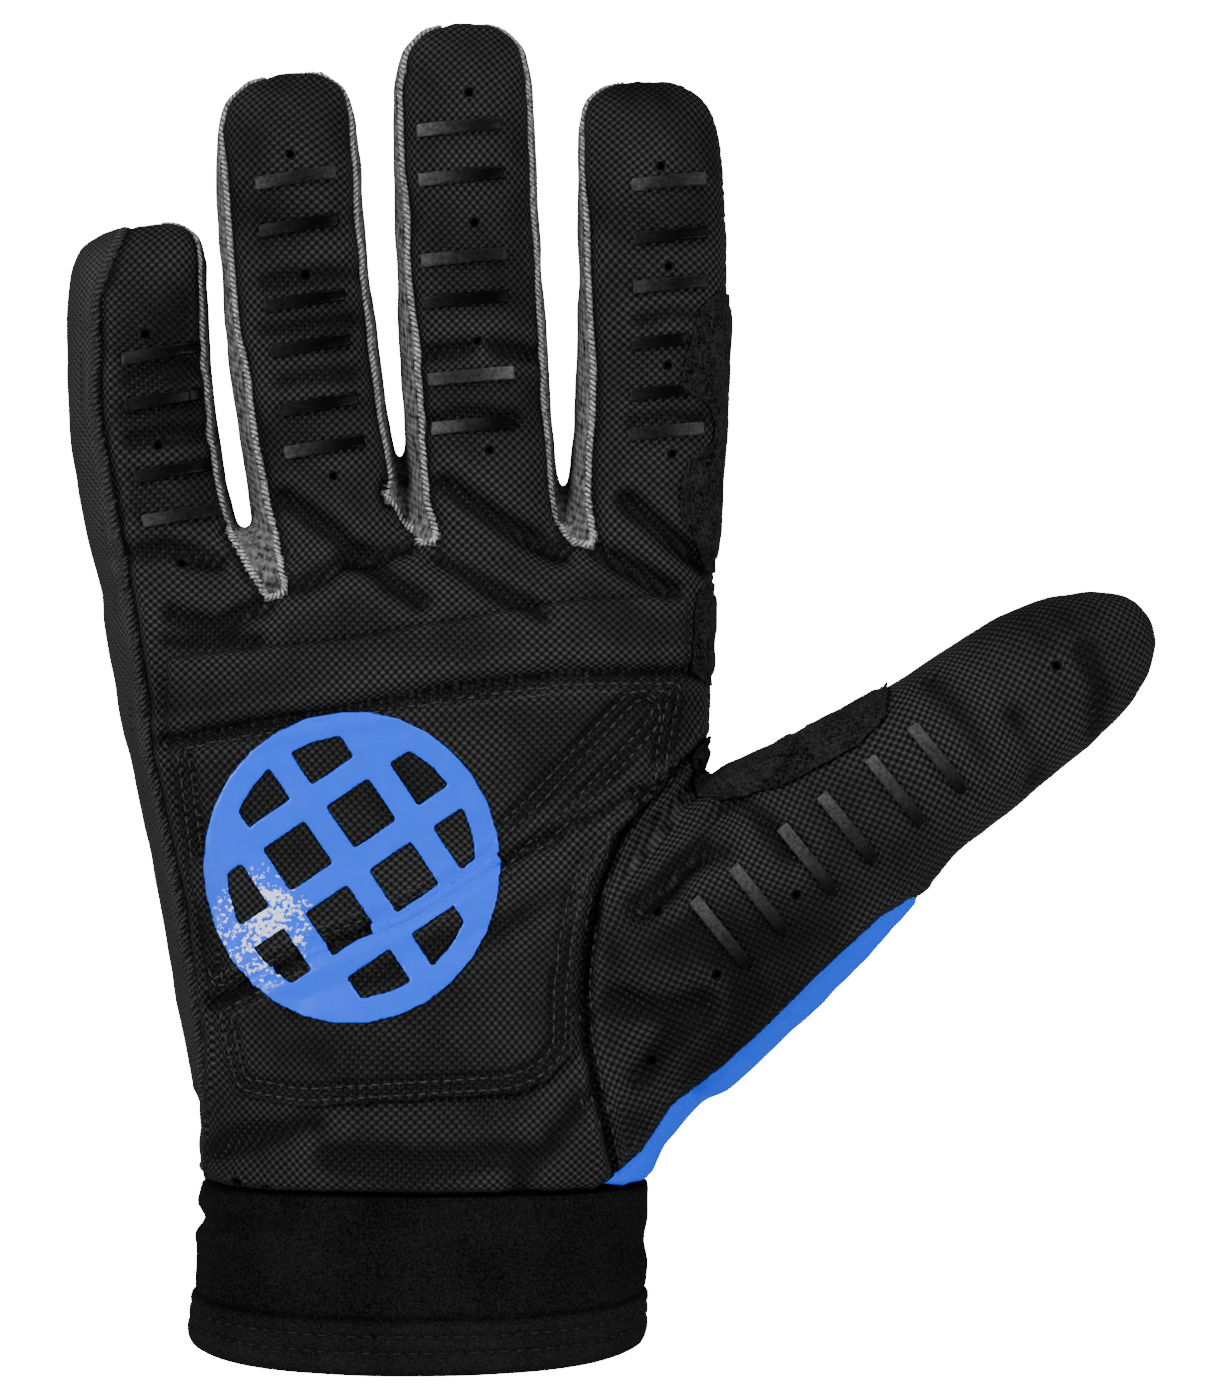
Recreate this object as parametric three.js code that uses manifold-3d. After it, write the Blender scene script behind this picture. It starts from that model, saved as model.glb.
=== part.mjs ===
// A right-hand fishing glove, open and upright, palm to the front (-Y), fingers up (+Z), thumb to +X.
// Lengths are in millimetres. The origin is the centre of the wrist opening.
import * as THREE from "three";
import { mergeVertices } from "three/addons/utils/BufferGeometryUtils.js";
import Module from "manifold-3d";

const wasm = await Module();
wasm.setup();

// Cloth and clearances
const WALL = 1.6; // synthetic leather and stretch cloth, with its lining
const SEAM_GAP = 0.3; // between two panels, and between a panel and what is sewn on it
const OVERLAY_THICK = 1.2; // second layer on the palm
const PATCH_THICK = 1.1; // suede reinforcements
const BAR_THICK = 0.8; // moulded grip bars
const PRINT_THICK = 0.5; // thick rubber print on the palm
const VENT_DIAMETER = 1.4; // small air holes punched through the leather
const VENT_SIDES = 6;
const VENT_ASIDE = 0.06; // a finger's holes lie this share of its width right of its middle
const FLATNESS = 0.11; // facets nearer to flat than this are joined

// Cuff
const CUFF_WIDTH = 77;
const CUFF_DEPTH = 54;
const CUFF_WALL = 3; // neoprene
const CUFF_HEIGHT = 26; // from the wrist opening up to the glove's lower edge
const CUFF_TUCK = 5; // how far the cuff runs up inside the glove
const HEM_HEIGHT = 7.5;
const HEM_PROUD = 0.5; // the folded edge stands out this much on both faces
const HEM_FOLD = 1.2; // from the wrist opening up to the cuff's own edge inside the fold
const HEM_DIP = 3.2; // the palm side hangs lower than the sides

// Hand
const HAND_WIDTH = 106; // across the knuckles
const HAND_DEPTH = 32; // through the middle of the palm
const PALM_LENGTH = 110; // from the glove's lower edge to the finger webs
const PALM_HOLLOW = 3; // how deep the palm is cupped
const MIDPLANE_BACK = 1.5; // the seam plane lies this far behind the wrist's centre
const FINGER_CURL = 8; // how far the longest fingertip bends forward
const GUSSET_DIP = 4; // how far that cloth reaches below the roots of the fingers
const SIDE_REACH = 4.5; // the outer side panel reaches this far behind the seam plane
const PATCH_REACH = 3; // the suede patches reach this far behind it

// Fingers, from the little finger to the first. root is a share of half the hand's width; sink is
// how far the finger starts below the finger webs; lean is degrees towards +X. low and high say how
// far forward its seam to the cloth on its left lies at its root and tip, in shares of half its depth.
const FINGERS = {
  pinky: {
    root: -0.737, sink: 15.3, length: 67.3, width: 25.6, depth: 20, lean: -6.2, bow: -4,
    bars: [{ at: 0.665 }, { at: 0.549 }, { at: 0.37 }, { at: 0.258 }],
    vents: [0.722, 0.441],
  },
  ring: {
    root: -0.24, sink: 8.5, length: 85.8, width: 26, depth: 21, lean: -6.3, bow: -2.4,
    seam: { low: 0.79, high: 0.66 },
    bars: [{ at: 0.786 }, { at: 0.694 }, { at: 0.548 }, { at: 0.46 }, { at: 0.344 }, { at: 0.261 }],
    vents: [0.837, 0.601, 0.205],
  },
  middle: {
    root: 0.233, sink: 8.5, length: 93.6, width: 25.6, depth: 21.5, lean: -2.9, bow: -0.9,
    seam: { low: 0.79, high: 0.6 },
    bars: [{ at: 0.808 }, { at: 0.721 }, { at: 0.578 }, { at: 0.503 }, { at: 0.366 }, { at: 0.279 }],
    vents: [0.871, 0.641, 0.43, 0.233],
  },
  index: {
    root: 0.695, sink: 8.5, length: 84, width: 26.2, depth: 21.5, lean: 1.1, bow: 2.2,
    seam: { low: 0.84, high: 0.44 },
    bars: [{ at: 0.788 }, { at: 0.683 }, { at: 0.586 }, { at: 0.474 }, { at: 0.373 }, { at: 0.293 }],
    vents: [0.826, 0.628, 0.431],
  },
};
// Grip bars: from and to are shares of half the finger's width, tilt is in degrees
const BAR_WIDTH = 2.2;
const BAR_SPAN = {
  pinky: { from: -0.14, to: 0.88, tilt: 4 },
  ring: { from: -0.38, to: 0.67, tilt: 3 },
  middle: { from: -0.6, to: 0.53, tilt: 2 },
  index: { from: -0.26, to: 0.72, tilt: 7 },
  thumb: { from: -0.5, to: 0.45, tilt: 1.5 },
};
const FINGER_SIDES = 14;
const LINING_SIDES = 10; // the hollow's own facets, coarser than the outside's
const FINGER_SQUARENESS = 2.6;
// at is a share of the length, width and depth of the finger's own
const FINGER_SECTIONS = [
  { at: 0, width: 1.0, depth: 1.0 },
  { at: 0.18, width: 1.0, depth: 1.02 },
  { at: 0.33, width: 0.98, depth: 1.01 },
  { at: 0.43, width: 0.985, depth: 0.95 },
  { at: 0.53, width: 0.98, depth: 1.0 },
  { at: 0.68, width: 0.955, depth: 0.92 },
  { at: 0.8, width: 0.95, depth: 0.93 },
  { at: 0.9, width: 0.915, depth: 0.82 },
  { at: 0.96, width: 0.8, depth: 0.62 },
  { at: 1, width: 0.48, depth: 0.26 },
];

// Thumb. across is a share of half the hand's width, up a share of the palm's length.
const THUMB = {
  across: 0.743, up: 0.294, length: 105, width: 30, depth: 25, lean: 52.7, bow: 2,
  bars: [{ at: 0.149 }, { at: 0.229 }, { at: 0.329 }, { at: 0.409 }, { at: 0.505 }, { at: 0.589 }],
};
const THUMB_VENTS = [
  { at: 0.812, across: 0.04 },
  { at: 0.274, across: 0.33 },
  { at: 0.087, across: -0.53 },
  { at: 0.101, across: 0.43 },
];
const THUMB_SIDES = 16;
const THUMB_SET_FORWARD = 2.5; // the thumb's root in front of the seam plane
const THUMB_CURL = 4;
const THUMB_SECTIONS = [
  { at: -0.16, width: 0.9, depth: 1.2 },
  { at: 0, width: 1.45, depth: 1.4 },
  { at: 0.19, width: 1.4, depth: 1.32 },
  { at: 0.31, width: 1.33, depth: 1.2 },
  { at: 0.43, width: 1.145, depth: 1.08 },
  { at: 0.53, width: 1.01, depth: 1.03 },
  { at: 0.7, width: 0.94, depth: 0.98 },
  { at: 0.8, width: 0.9, depth: 0.92 },
  { at: 0.885, width: 0.78, depth: 0.8 },
  { at: 0.945, width: 0.59, depth: 0.6 },
  { at: 0.985, width: 0.36, depth: 0.38 },
  { at: 1, width: 0.16, depth: 0.18 },
];

// Palm and wrist. up is a share of the palm's length, left and right of half the hand's width,
// front and back of half its depth.
const PALM_SIDES = 28;
const WRIST_SQUARENESS = 2.3;
const KNUCKLE_SQUARENESS = 3;
const LINING_FOOT = 3; // the hollow starts this many cloth walls below the glove's lower edge
const PALM_SECTIONS = [
  { up: 0, left: 0.696, right: 0.745, front: 1.5, back: 1.5 },
  { up: 0.055, left: 0.69, right: 0.79, front: 1.5, back: 1.5 },
  { up: 0.12, left: 0.69, right: 0.91, front: 1.41, back: 1.38 },
  { up: 0.17, left: 0.728, right: 0.95, front: 1.34, back: 1.3 },
  { up: 0.3, left: 0.783, right: 0.9, front: 1.22, back: 1.16 },
  { up: 0.49, left: 0.85, right: 0.83, front: 1.1, back: 1.05 },
  { up: 0.68, left: 0.94, right: 0.93, front: 1.02, back: 0.98 },
  { up: 0.86, left: 1.01, right: 0.945, front: 0.94, back: 0.93 },
  { up: 0.94, left: 1.015, right: 0.94, front: 0.8, back: 0.86 },
  { up: 1, left: 0.95, right: 0.88, front: 0.45, back: 0.6 },
];

// Outlines on the palm side, in shares of half the hand's width and of the palm's length
const PAD_OUTLINE = [
  { across: -0.775, up: 0.805 },
  { across: -0.216, up: 0.835 },
  { across: 0.167, up: 0.866 },
  { across: 0.553, up: 0.896 },
  { across: 0.86, up: 0.9 },
  { across: 0.86, up: 0.75 },
  { across: 0.8, up: 0.61 },
  { across: 0.63, up: 0.535 },
  { across: 0.555, up: 0.46 },
  { across: 0.515, up: 0.38 },
  { across: 0.5, up: 0.3 },
  { across: 0.5, up: 0.209 },
  { across: 0.431, up: 0.171 },
  { across: 0.324, up: 0.149 },
  { across: -0.078, up: 0.138 },
  { across: -0.345, up: 0.129 },
  { across: -0.57, up: 0.144 },
  { across: -0.635, up: 0.268 },
  { across: -0.725, up: 0.498 },
  { across: -0.79, up: 0.725 },
];
// The pad folds across the hand under the fingers, and slantwise above the heel of the hand
const PAD_FOLD_DEPTH = 0.5;
const PAD_FOLD_CLEAR = 1; // the tool that cuts the folds stands this far above the pad
const PAD_FOLD_WIDTH = 1.4;
const PAD_FOLDS = [
  [
    { across: -0.9, up: 0.672 },
    { across: -0.213, up: 0.729 },
    { across: 0.098, up: 0.758 },
    { across: 0.459, up: 0.781 },
    { across: 1, up: 0.786 },
  ],
  [
    { across: -0.8, up: 0.24 },
    { across: -0.627, up: 0.283 },
    { across: -0.332, up: 0.357 },
    { across: -0.025, up: 0.413 },
    { across: 0.23, up: 0.487 },
    { across: 0.42, up: 0.57 },
    { across: 0.75, up: 0.74 },
  ],
];
const INDEX_SIDE_OUTLINE = [
  { across: 1.2, up: 1.366 },
  { across: 0.974, up: 1.366 },
  { across: 0.911, up: 1.339 },
  { across: 0.87, up: 1.286 },
  { across: 0.839, up: 1.215 },
  { across: 0.936, up: 1.191 },
  { across: 0.961, up: 1.163 },
  { across: 0.948, up: 1.132 },
  { across: 0.87, up: 1.107 },
  { across: 0.845, up: 1.07 },
  { across: 0.839, up: 1.018 },
  { across: 0.898, up: 0.983 },
  { across: 0.948, up: 0.935 },
  { across: 1.2, up: 0.935 },
];
const INDEX_KNUCKLE_OUTLINE = [
  { across: 1.2, up: 0.92 },
  { across: 0.948, up: 0.92 },
  { across: 0.898, up: 0.905 },
  { across: 0.886, up: 0.862 },
  { across: 0.879, up: 0.79 },
  { across: 0.936, up: 0.761 },
  { across: 1.2, up: 0.761 },
];
// In shares of the thumb's length and of half its width
const THUMB_CROTCH_OUTLINE = [
  { at: 0.286, across: -1.69 },
  { at: 0.249, across: -1.36 },
  { at: 0.273, across: -1.17 },
  { at: 0.366, across: -0.85 },
  { at: 0.5, across: -0.69 },
  { at: 0.56, across: -0.75 },
  { at: 0.612, across: -1.09 },
  { at: 0.636, across: -1.89 },
  { at: 0.432, across: -1.77 },
];
const PALM_VENTS = [
  { across: -0.53, up: 0.03 },
  { across: -0.44, up: 0.025 },
];
// The rubber print, a round grid. width and height are shares of the hand's width and the palm's
// length; rim is the width of the ring round it, and there are rows bands on each side of the middle.
const PRINT = {
  across: -0.196,
  up: 0.489,
  width: 0.47,
  height: 0.47,
  rim: 4.2,
  band: 4.4,
  pitch: 12.7,
  rows: 1,
  slants: [34, -56],
  sides: 30,
};

const halfWidth = HAND_WIDTH / 2;
const halfDepth = HAND_DEPTH / 2;
const wristZ = CUFF_HEIGHT;
const webZ = wristZ + PALM_LENGTH;
const FAR = 4 * HAND_WIDTH; // past every edge of the glove

// Turning geometry into solids and back
function solidFrom(geometry) {
  const bare = new THREE.BufferGeometry();
  bare.setAttribute("position", geometry.getAttribute("position"));
  if (geometry.index) bare.setIndex(geometry.index);
  const merged = mergeVertices(bare, 1e-4);
  return new wasm.Manifold(
    new wasm.Mesh({
      numProp: 3,
      vertProperties: merged.attributes.position.array,
      triVerts: new Uint32Array(merged.index.array),
    }),
  );
}

function geometryFrom(solid) {
  const mesh = solid.getMesh();
  const geometry = new THREE.BufferGeometry();
  geometry.setAttribute("position", new THREE.BufferAttribute(mesh.vertProperties, 3));
  geometry.setIndex(new THREE.BufferAttribute(mesh.triVerts, 1));
  const faceted = geometry.toNonIndexed();
  faceted.computeVertexNormals();
  return faceted;
}

// A cut can shave off crumbs where two curved faces nearly meet: the cloth is the largest body.
function largest(solid) {
  const bodies = solid.decompose();
  return bodies.reduce((best, body) => (body.volume() > best.volume() ? body : best));
}

const union = (solids) => solids.reduce((all, solid) => all.add(solid));

// A skin round a hollow band: the last ring of points joins the first
function loop(rings) {
  const sides = rings[0].length;
  const geometry = new THREE.BufferGeometry().setFromPoints(rings.flat());
  const faces = [];
  for (let r = 0; r < rings.length; r++) {
    const [low, high] = [r * sides, ((r + 1) % rings.length) * sides];
    for (let i = 0; i < sides; i++) {
      const next = (i + 1) % sides;
      faces.push(low + i, low + next, high + next, low + i, high + next, high + i);
    }
  }
  geometry.setIndex(faces);
  return solidFrom(geometry);
}

// A closed skin through rings of points, all counter-clockwise seen from the last ring
function loft(rings) {
  const sides = rings[0].length;
  const points = rings.flat();
  const centreOf = (ring) => ring.reduce((sum, p) => sum.add(p), new THREE.Vector3()).divideScalar(sides);
  const bottom = points.push(centreOf(rings[0])) - 1;
  const top = points.push(centreOf(rings.at(-1))) - 1;
  const lastRing = (rings.length - 1) * sides;
  const faces = [];
  for (let i = 0; i < sides; i++) {
    const next = (i + 1) % sides;
    faces.push(bottom, next, i, top, lastRing + i, lastRing + next);
    for (let r = 0; r < rings.length - 1; r++) {
      const [a, b] = [r * sides + i, r * sides + next];
      faces.push(a, b, b + sides, a, b + sides, a + sides);
    }
  }
  const geometry = new THREE.BufferGeometry().setFromPoints(points);
  geometry.setIndex(faces);
  return solidFrom(geometry);
}

// Points of a rounded section: squareness 2 is an ellipse, more is boxier
function roundedSection({ sides, left, right, front, back, squareness }) {
  return Array.from({ length: sides }, (_, i) => {
    const angle = (2 * Math.PI * i) / sides;
    const [c, s] = [Math.cos(angle), Math.sin(angle)];
    const shape = (v) => Math.sign(v) * Math.abs(v) ** (2 / squareness);
    return [shape(c) * (c < 0 ? left : right), shape(s) * (s < 0 ? front : back)];
  });
}

// The value of a table's column at a place between its rows
function between(rows, key, column, at) {
  const last = rows.length - 1;
  const upper = rows.findIndex((row) => row[key] >= at);
  if (upper === 0) return rows[0][column];
  if (upper < 0) return rows[last][column];
  const [a, b] = [rows[upper - 1], rows[upper]];
  return a[column] + ((b[column] - a[column]) * (at - a[key])) / (b[key] - a[key]);
}

// The glove's seam plane: upright at the palm, bending forward with the fingers
const longest = Math.max(...Object.values(FINGERS).map((finger) => finger.length));
function midplaneY(z) {
  const share = Math.max(0, (z - webZ) / longest);
  return MIDPLANE_BACK - FINGER_CURL * share ** 1.7;
}

function palmHollow(x, z) {
  const across = x / (0.55 * halfWidth);
  const up = (z - (wristZ + 0.52 * PALM_LENGTH)) / (0.3 * PALM_LENGTH);
  return PALM_HOLLOW * Math.exp(-(across ** 2) - up ** 2);
}

function palmBody(grow) {
  const rings = PALM_SECTIONS.map((row) => {
    const foot = grow < 0 ? LINING_FOOT * grow : 0;
    const ends = { 0: foot, 1: grow }[row.up] ?? 0;
    const z = wristZ + row.up * PALM_LENGTH + ends;
    const section = roundedSection({
      sides: PALM_SIDES,
      left: row.left * halfWidth + grow,
      right: row.right * halfWidth + grow,
      front: row.front * halfDepth + grow,
      back: row.back * halfDepth + grow,
      squareness: WRIST_SQUARENESS + (KNUCKLE_SQUARENESS - WRIST_SQUARENESS) * row.up,
    });
    return section.map(([x, y]) => {
      const cupped = y < 0 ? palmHollow(x, z) : 0;
      return new THREE.Vector3(x, y + cupped + midplaneY(z) * row.up, z);
    });
  });
  return loft(rings);
}

// A finger's own frame: u across, w along, from its root
function fingerRoot(finger) {
  return { x: finger.root * halfWidth, z: webZ - finger.sink };
}

const bowAt = (finger, at) => finger.bow * 4 * at * (1 - at);

function fingerPoint(finger, u, w) {
  const lean = THREE.MathUtils.degToRad(finger.lean);
  const root = fingerRoot(finger);
  return {
    x: root.x + u * Math.cos(lean) + w * Math.sin(lean),
    z: root.z - u * Math.sin(lean) + w * Math.cos(lean),
  };
}

function fingerTube(finger, grow) {
  const rings = FINGER_SECTIONS.map((row) => {
    const along = row.at * (finger.length + grow);
    const section = roundedSection({
      sides: grow < 0 ? LINING_SIDES : FINGER_SIDES,
      left: (row.width * finger.width) / 2 + grow,
      right: (row.width * finger.width) / 2 + grow,
      front: (row.depth * finger.depth) / 2 + grow,
      back: (row.depth * finger.depth) / 2 + grow,
      squareness: FINGER_SQUARENESS,
    });
    return section.map(([u, v]) => {
      const { x, z } = fingerPoint(finger, u + bowAt(finger, row.at), along);
      return new THREE.Vector3(x, v + midplaneY(z), z);
    });
  });
  return loft(rings);
}

// The finger's centre and half width at a height
function fingerAt(finger, z) {
  const lean = THREE.MathUtils.degToRad(finger.lean);
  const along = (z - fingerRoot(finger).z) / Math.cos(lean);
  const at = THREE.MathUtils.clamp(along / finger.length, 0, 1);
  return {
    x: fingerPoint(finger, bowAt(finger, at), along).x,
    half: (between(FINGER_SECTIONS, "at", "width", at) * finger.width) / 2,
    depth: (between(FINGER_SECTIONS, "at", "depth", at) * finger.depth) / 2,
    at,
  };
}

const thumbRoot = { x: THUMB.across * halfWidth, z: wristZ + THUMB.up * PALM_LENGTH };
const thumbLean = THREE.MathUtils.degToRad(THUMB.lean);
// u runs across the thumb, away from the first finger when positive; w along it
function thumbPoint(u, w) {
  const bowed = u - bowAt(THUMB, w / THUMB.length);
  return {
    x: thumbRoot.x + bowed * Math.cos(thumbLean) + w * Math.sin(thumbLean),
    z: thumbRoot.z - bowed * Math.sin(thumbLean) + w * Math.cos(thumbLean),
  };
}

const onThumb = ({ at, across }) => thumbPoint((across * THUMB.width) / 2, at * THUMB.length);
const thumbY = (at) => MIDPLANE_BACK - THUMB_SET_FORWARD - THUMB_CURL * at;

function thumbTube(grow) {
  const rings = THUMB_SECTIONS.map((row) => {
    const along = row.at * (THUMB.length + grow);
    const half = { width: (row.width * THUMB.width) / 2, depth: (row.depth * THUMB.depth) / 2 };
    const section = roundedSection({
      sides: grow < 0 ? LINING_SIDES : THUMB_SIDES,
      left: half.width + grow,
      right: half.width + grow,
      front: half.depth + grow,
      back: half.depth + grow,
      squareness: WRIST_SQUARENESS,
    });
    return section.map(([u, v]) => {
      const { x, z } = thumbPoint(u, along);
      return new THREE.Vector3(x, v + thumbY(row.at), z);
    });
  });
  return loft(rings);
}

// A drill through the front of the cloth
function ventDrill({ x, z }) {
  const radius = VENT_DIAMETER / 2;
  const outline = Array.from({ length: VENT_SIDES }, (_, i) => {
    const angle = (2 * Math.PI * i) / VENT_SIDES;
    return { x: x + radius * Math.cos(angle), z: z + radius * Math.sin(angle) };
  });
  return prism(outline, -FAR, -1);
}

// The whole hand form, grown or shrunk: shells between two of these are cloth
const forms = new Map();
function handForm(grow) {
  if (!forms.has(grow)) {
    const fingers = Object.values(FINGERS).map((finger) => fingerTube(finger, grow));
    forms.set(grow, union([palmBody(grow), thumbTube(grow), ...fingers]));
  }
  return forms.get(grow);
}

// An upright prism: an outline in x and z, run through from y = from to y = to
function prism(outline, from = -FAR, to = FAR) {
  const shape = new THREE.Shape(outline.map(({ x, z }) => new THREE.Vector2(x, z)));
  const geometry = new THREE.ExtrudeGeometry(shape, { depth: to - from, bevelEnabled: false });
  geometry.rotateX(Math.PI / 2).translate(0, to, 0);
  return solidFrom(geometry);
}

// Everything in front of the seam plane (side -1) or behind it (side 1), moved by shift along y
function halfSpace(side, shift) {
  const steps = 6;
  const low = -FAR;
  const high = webZ + longest + HAND_DEPTH;
  const line = [new THREE.Vector2(midplaneY(low) + shift, low)];
  for (let i = 0; i <= steps; i++) {
    const z = webZ + ((high - webZ) * i) / steps;
    line.push(new THREE.Vector2(midplaneY(z) + shift, z));
  }
  const shape = new THREE.Shape([
    ...line,
    new THREE.Vector2(side * FAR, high),
    new THREE.Vector2(side * FAR, low),
  ]);
  const geometry = new THREE.ExtrudeGeometry(shape, { depth: 2 * FAR, bevelEnabled: false });
  const turn = new THREE.Matrix4().makeBasis(
    new THREE.Vector3(0, 1, 0),
    new THREE.Vector3(0, 0, 1),
    new THREE.Vector3(1, 0, 0),
  );
  return solidFrom(geometry.applyMatrix4(turn).translate(-FAR, 0, 0));
}

// A seam line moved sideways, to the right of its direction when distance is positive
function shifted(line, distance) {
  return line.map((point, i) => {
    const before = line[Math.max(0, i - 1)];
    const after = line[Math.min(line.length - 1, i + 1)];
    const [dx, dz] = [after.x - before.x, after.z - before.z];
    const length = Math.hypot(dx, dz);
    return { x: point.x + (dz / length) * distance, z: point.z - (dx / length) * distance };
  });
}

// Places on the palm, in shares of its half width and length
const onPalm = ({ across, up }) => ({ x: across * halfWidth, z: wristZ + up * PALM_LENGTH });

// The seam round the base of the thumb, from the wrist up to the thumb web
const THUMB_SEAM = [
  { across: 0.66, up: -0.1 },
  { across: 0.64, up: 0.01 },
  { across: 0.585, up: 0.14 },
  { across: 0.545, up: 0.22 },
  { across: 0.535, up: 0.3 },
  { across: 0.55, up: 0.38 },
  { across: 0.585, up: 0.46 },
  { across: 0.65, up: 0.535 },
  { across: 0.76, up: 0.605 },
  { across: 0.9, up: 0.665 },
];
const thumbSeam = THUMB_SEAM.map(onPalm);

// All that lies on the thumb's side of its seam
function thumbArea(grow) {
  const line = shifted(thumbSeam, -grow);
  const crotch = line.at(-1);
  const beyondWeb = thumbPoint(-THUMB.width, 0.9 * THUMB.length);
  return prism([
    ...line,
    { x: crotch.x + 0.1 * halfWidth, z: crotch.z + 0.06 * PALM_LENGTH },
    beyondWeb,
    { x: FAR, z: beyondWeb.z },
    { x: FAR, z: -FAR },
    { x: line[0].x, z: -FAR },
  ]);
}

// The edge where the back's cloth comes round to the front along the thumb. inset is a share of
// the thumb's width in from its outer edge, at a share of the thumb's length.
const WRAP_EDGE = [
  { at: 0.5, inset: -0.1 },
  { at: 0.42, inset: 0.04 },
  { at: 0.36, inset: 0.12 },
  { at: 0.3, inset: 0.15 },
  { at: 0.15, inset: 0.15 },
  { at: 0.02, inset: 0.14 },
];
const WRAP_FOOT = [
  { across: 0.82, up: 0.125 },
  { across: 0.72, up: 0.055 },
  { across: 0.58, up: 0 },
  { across: 0.5, up: -0.1 },
];
const wrapEdge = [
  ...WRAP_EDGE.map(({ at, inset }) => {
    const half = (between(THUMB_SECTIONS, "at", "width", at) * THUMB.width) / 2;
    return thumbPoint(half - inset * THUMB.width, at * THUMB.length);
  }),
  ...WRAP_FOOT.map(onPalm),
];

// All that lies outside that edge, towards the lower right
function wrapArea(grow) {
  const line = shifted(wrapEdge, grow);
  return prism([...line, { x: line.at(-1).x, z: -FAR }, { x: FAR, z: -FAR }, { x: FAR, z: line[0].z }]);
}

// The thumb's tip, where the leather goes right round
const THUMB_CAP_AT = 0.5;
function thumbCap(grow) {
  const along = THUMB_CAP_AT * THUMB.length - grow;
  return prism([
    thumbPoint(-THUMB.width, along),
    thumbPoint(THUMB.width, along),
    thumbPoint(THUMB.width, 1.3 * THUMB.length),
    thumbPoint(-THUMB.width, 1.3 * THUMB.length),
  ]);
}

// The little finger's outer seam: how far it lies in from the glove's left edge, in shares of
// that finger's width, by a share of the way from the wrist to the fingertip
const SIDE_SEAM = [
  { rise: -0.08, inset: 0 },
  { rise: 0.02, inset: 0.03 },
  { rise: 0.1, inset: 0.08 },
  { rise: 0.16, inset: 0.16 },
  { rise: 0.3, inset: 0.19 },
  { rise: 0.45, inset: 0.19 },
  { rise: 0.55, inset: 0.25 },
  { rise: 0.65, inset: 0.24 },
  { rise: 0.8, inset: 0.24 },
  { rise: 0.92, inset: 0.25 },
  { rise: 1.02, inset: 0.22 },
];
function leftEdge(z) {
  const up = (z - wristZ) / PALM_LENGTH;
  const palm = -between(PALM_SECTIONS, "up", "left", up) * halfWidth;
  const { x, half } = fingerAt(FINGERS.pinky, z);
  return up > 0.95 ? x - half : Math.min(palm, up > 0.8 ? x - half : palm);
}
const pinkyTip = fingerPoint(FINGERS.pinky, 0, FINGERS.pinky.length);
const sideSeam = SIDE_SEAM.map(({ rise, inset }) => {
  const z = wristZ + rise * (pinkyTip.z - wristZ);
  return { x: leftEdge(z) + inset * FINGERS.pinky.width, z };
});

// All that lies outside the little finger's seam
function sideArea(grow) {
  const line = shifted(sideSeam, grow);
  return prism([...line, { x: -FAR, z: line.at(-1).z }, { x: -FAR, z: line[0].z }]);
}

// The space that the cloth between two fingers fills: from inside one finger's edge to inside
// the other's, between the front seam and the back seam
const GUSSET_REACH = 0.46; // share of the finger's half width that stays with the front and back
const GUSSET_NEAR = 0.47; // where its front seam lies on the left finger, in shares of half its depth
const GUSSET_BACK = 0.62; // and its back seam on both
const GUSSET_STEP = 2; // half the width over which the front seam steps from one to the other
const GUSSET_RINGS = [0.8, 1]; // shares of both fingers' lengths
function gussetSpace(left, right, shift) {
  const heightsOf = (finger) => GUSSET_RINGS.map((at) => fingerPoint(finger, 0, at * finger.length).z);
  const ends = [fingerRoot(right).z - GUSSET_DIP, webZ + longest];
  const heights = [...ends, ...heightsOf(left), ...heightsOf(right)].sort((a, b) => a - b);
  const rings = heights.map((z) => {
    const [a, b] = [fingerAt(left, z), fingerAt(right, z)];
    const xs = [a.x + GUSSET_REACH * a.half - shift, b.x - GUSSET_REACH * b.half + shift];
    const middle = (a.x + a.half + b.x - b.half) / 2;
    const y = midplaneY(z);
    const near = y - GUSSET_NEAR * a.depth - shift;
    const far = y - THREE.MathUtils.lerp(right.seam.low, right.seam.high, b.at) * b.depth - shift;
    const points = [
      [xs[0], near],
      [middle - GUSSET_STEP, near],
      [middle + GUSSET_STEP, far],
      [xs[1], far],
      [xs[1], y + GUSSET_BACK * b.depth + shift],
      [xs[0], y + GUSSET_BACK * a.depth + shift],
    ];
    return points.map(([x, py]) => new THREE.Vector3(x, py, z));
  });
  return loft(rings);
}

const GUSSETS = [
  ["pinky", "ring"],
  ["ring", "middle"],
  ["middle", "index"],
];
const gussetSpaces = (shift) =>
  union(GUSSETS.map(([left, right]) => gussetSpace(FINGERS[left], FINGERS[right], shift)));

// Colours and finishes
const cloth = (name, color, roughness) =>
  new THREE.MeshStandardMaterial({ name, color, roughness, metalness: 0 });
const MATERIALS = {
  leather: cloth("black mesh leather", 0x1b1b1c, 0.62),
  stretch: cloth("black stretch cloth", 0x161617, 0.8),
  back: cloth("blue stretch cloth", 0x2a6fe8, 0.7),
  knit: cloth("grey rib knit", 0x77787a, 0.85),
  suede: cloth("black suede", 0x222325, 0.95),
  neoprene: cloth("black neoprene", 0x0d0d0e, 0.9),
  bar: cloth("black grip rubber", 0x0b0b0c, 0.35),
  print: cloth("blue rubber print", 0x2a70ee, 0.3),
};

const glove = new THREE.Group();
function piece(name, material, solid) {
  const mesh = new THREE.Mesh(geometryFrom(largest(solid).simplify(FLATNESS)), material);
  mesh.name = name;
  glove.add(mesh);
}

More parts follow.
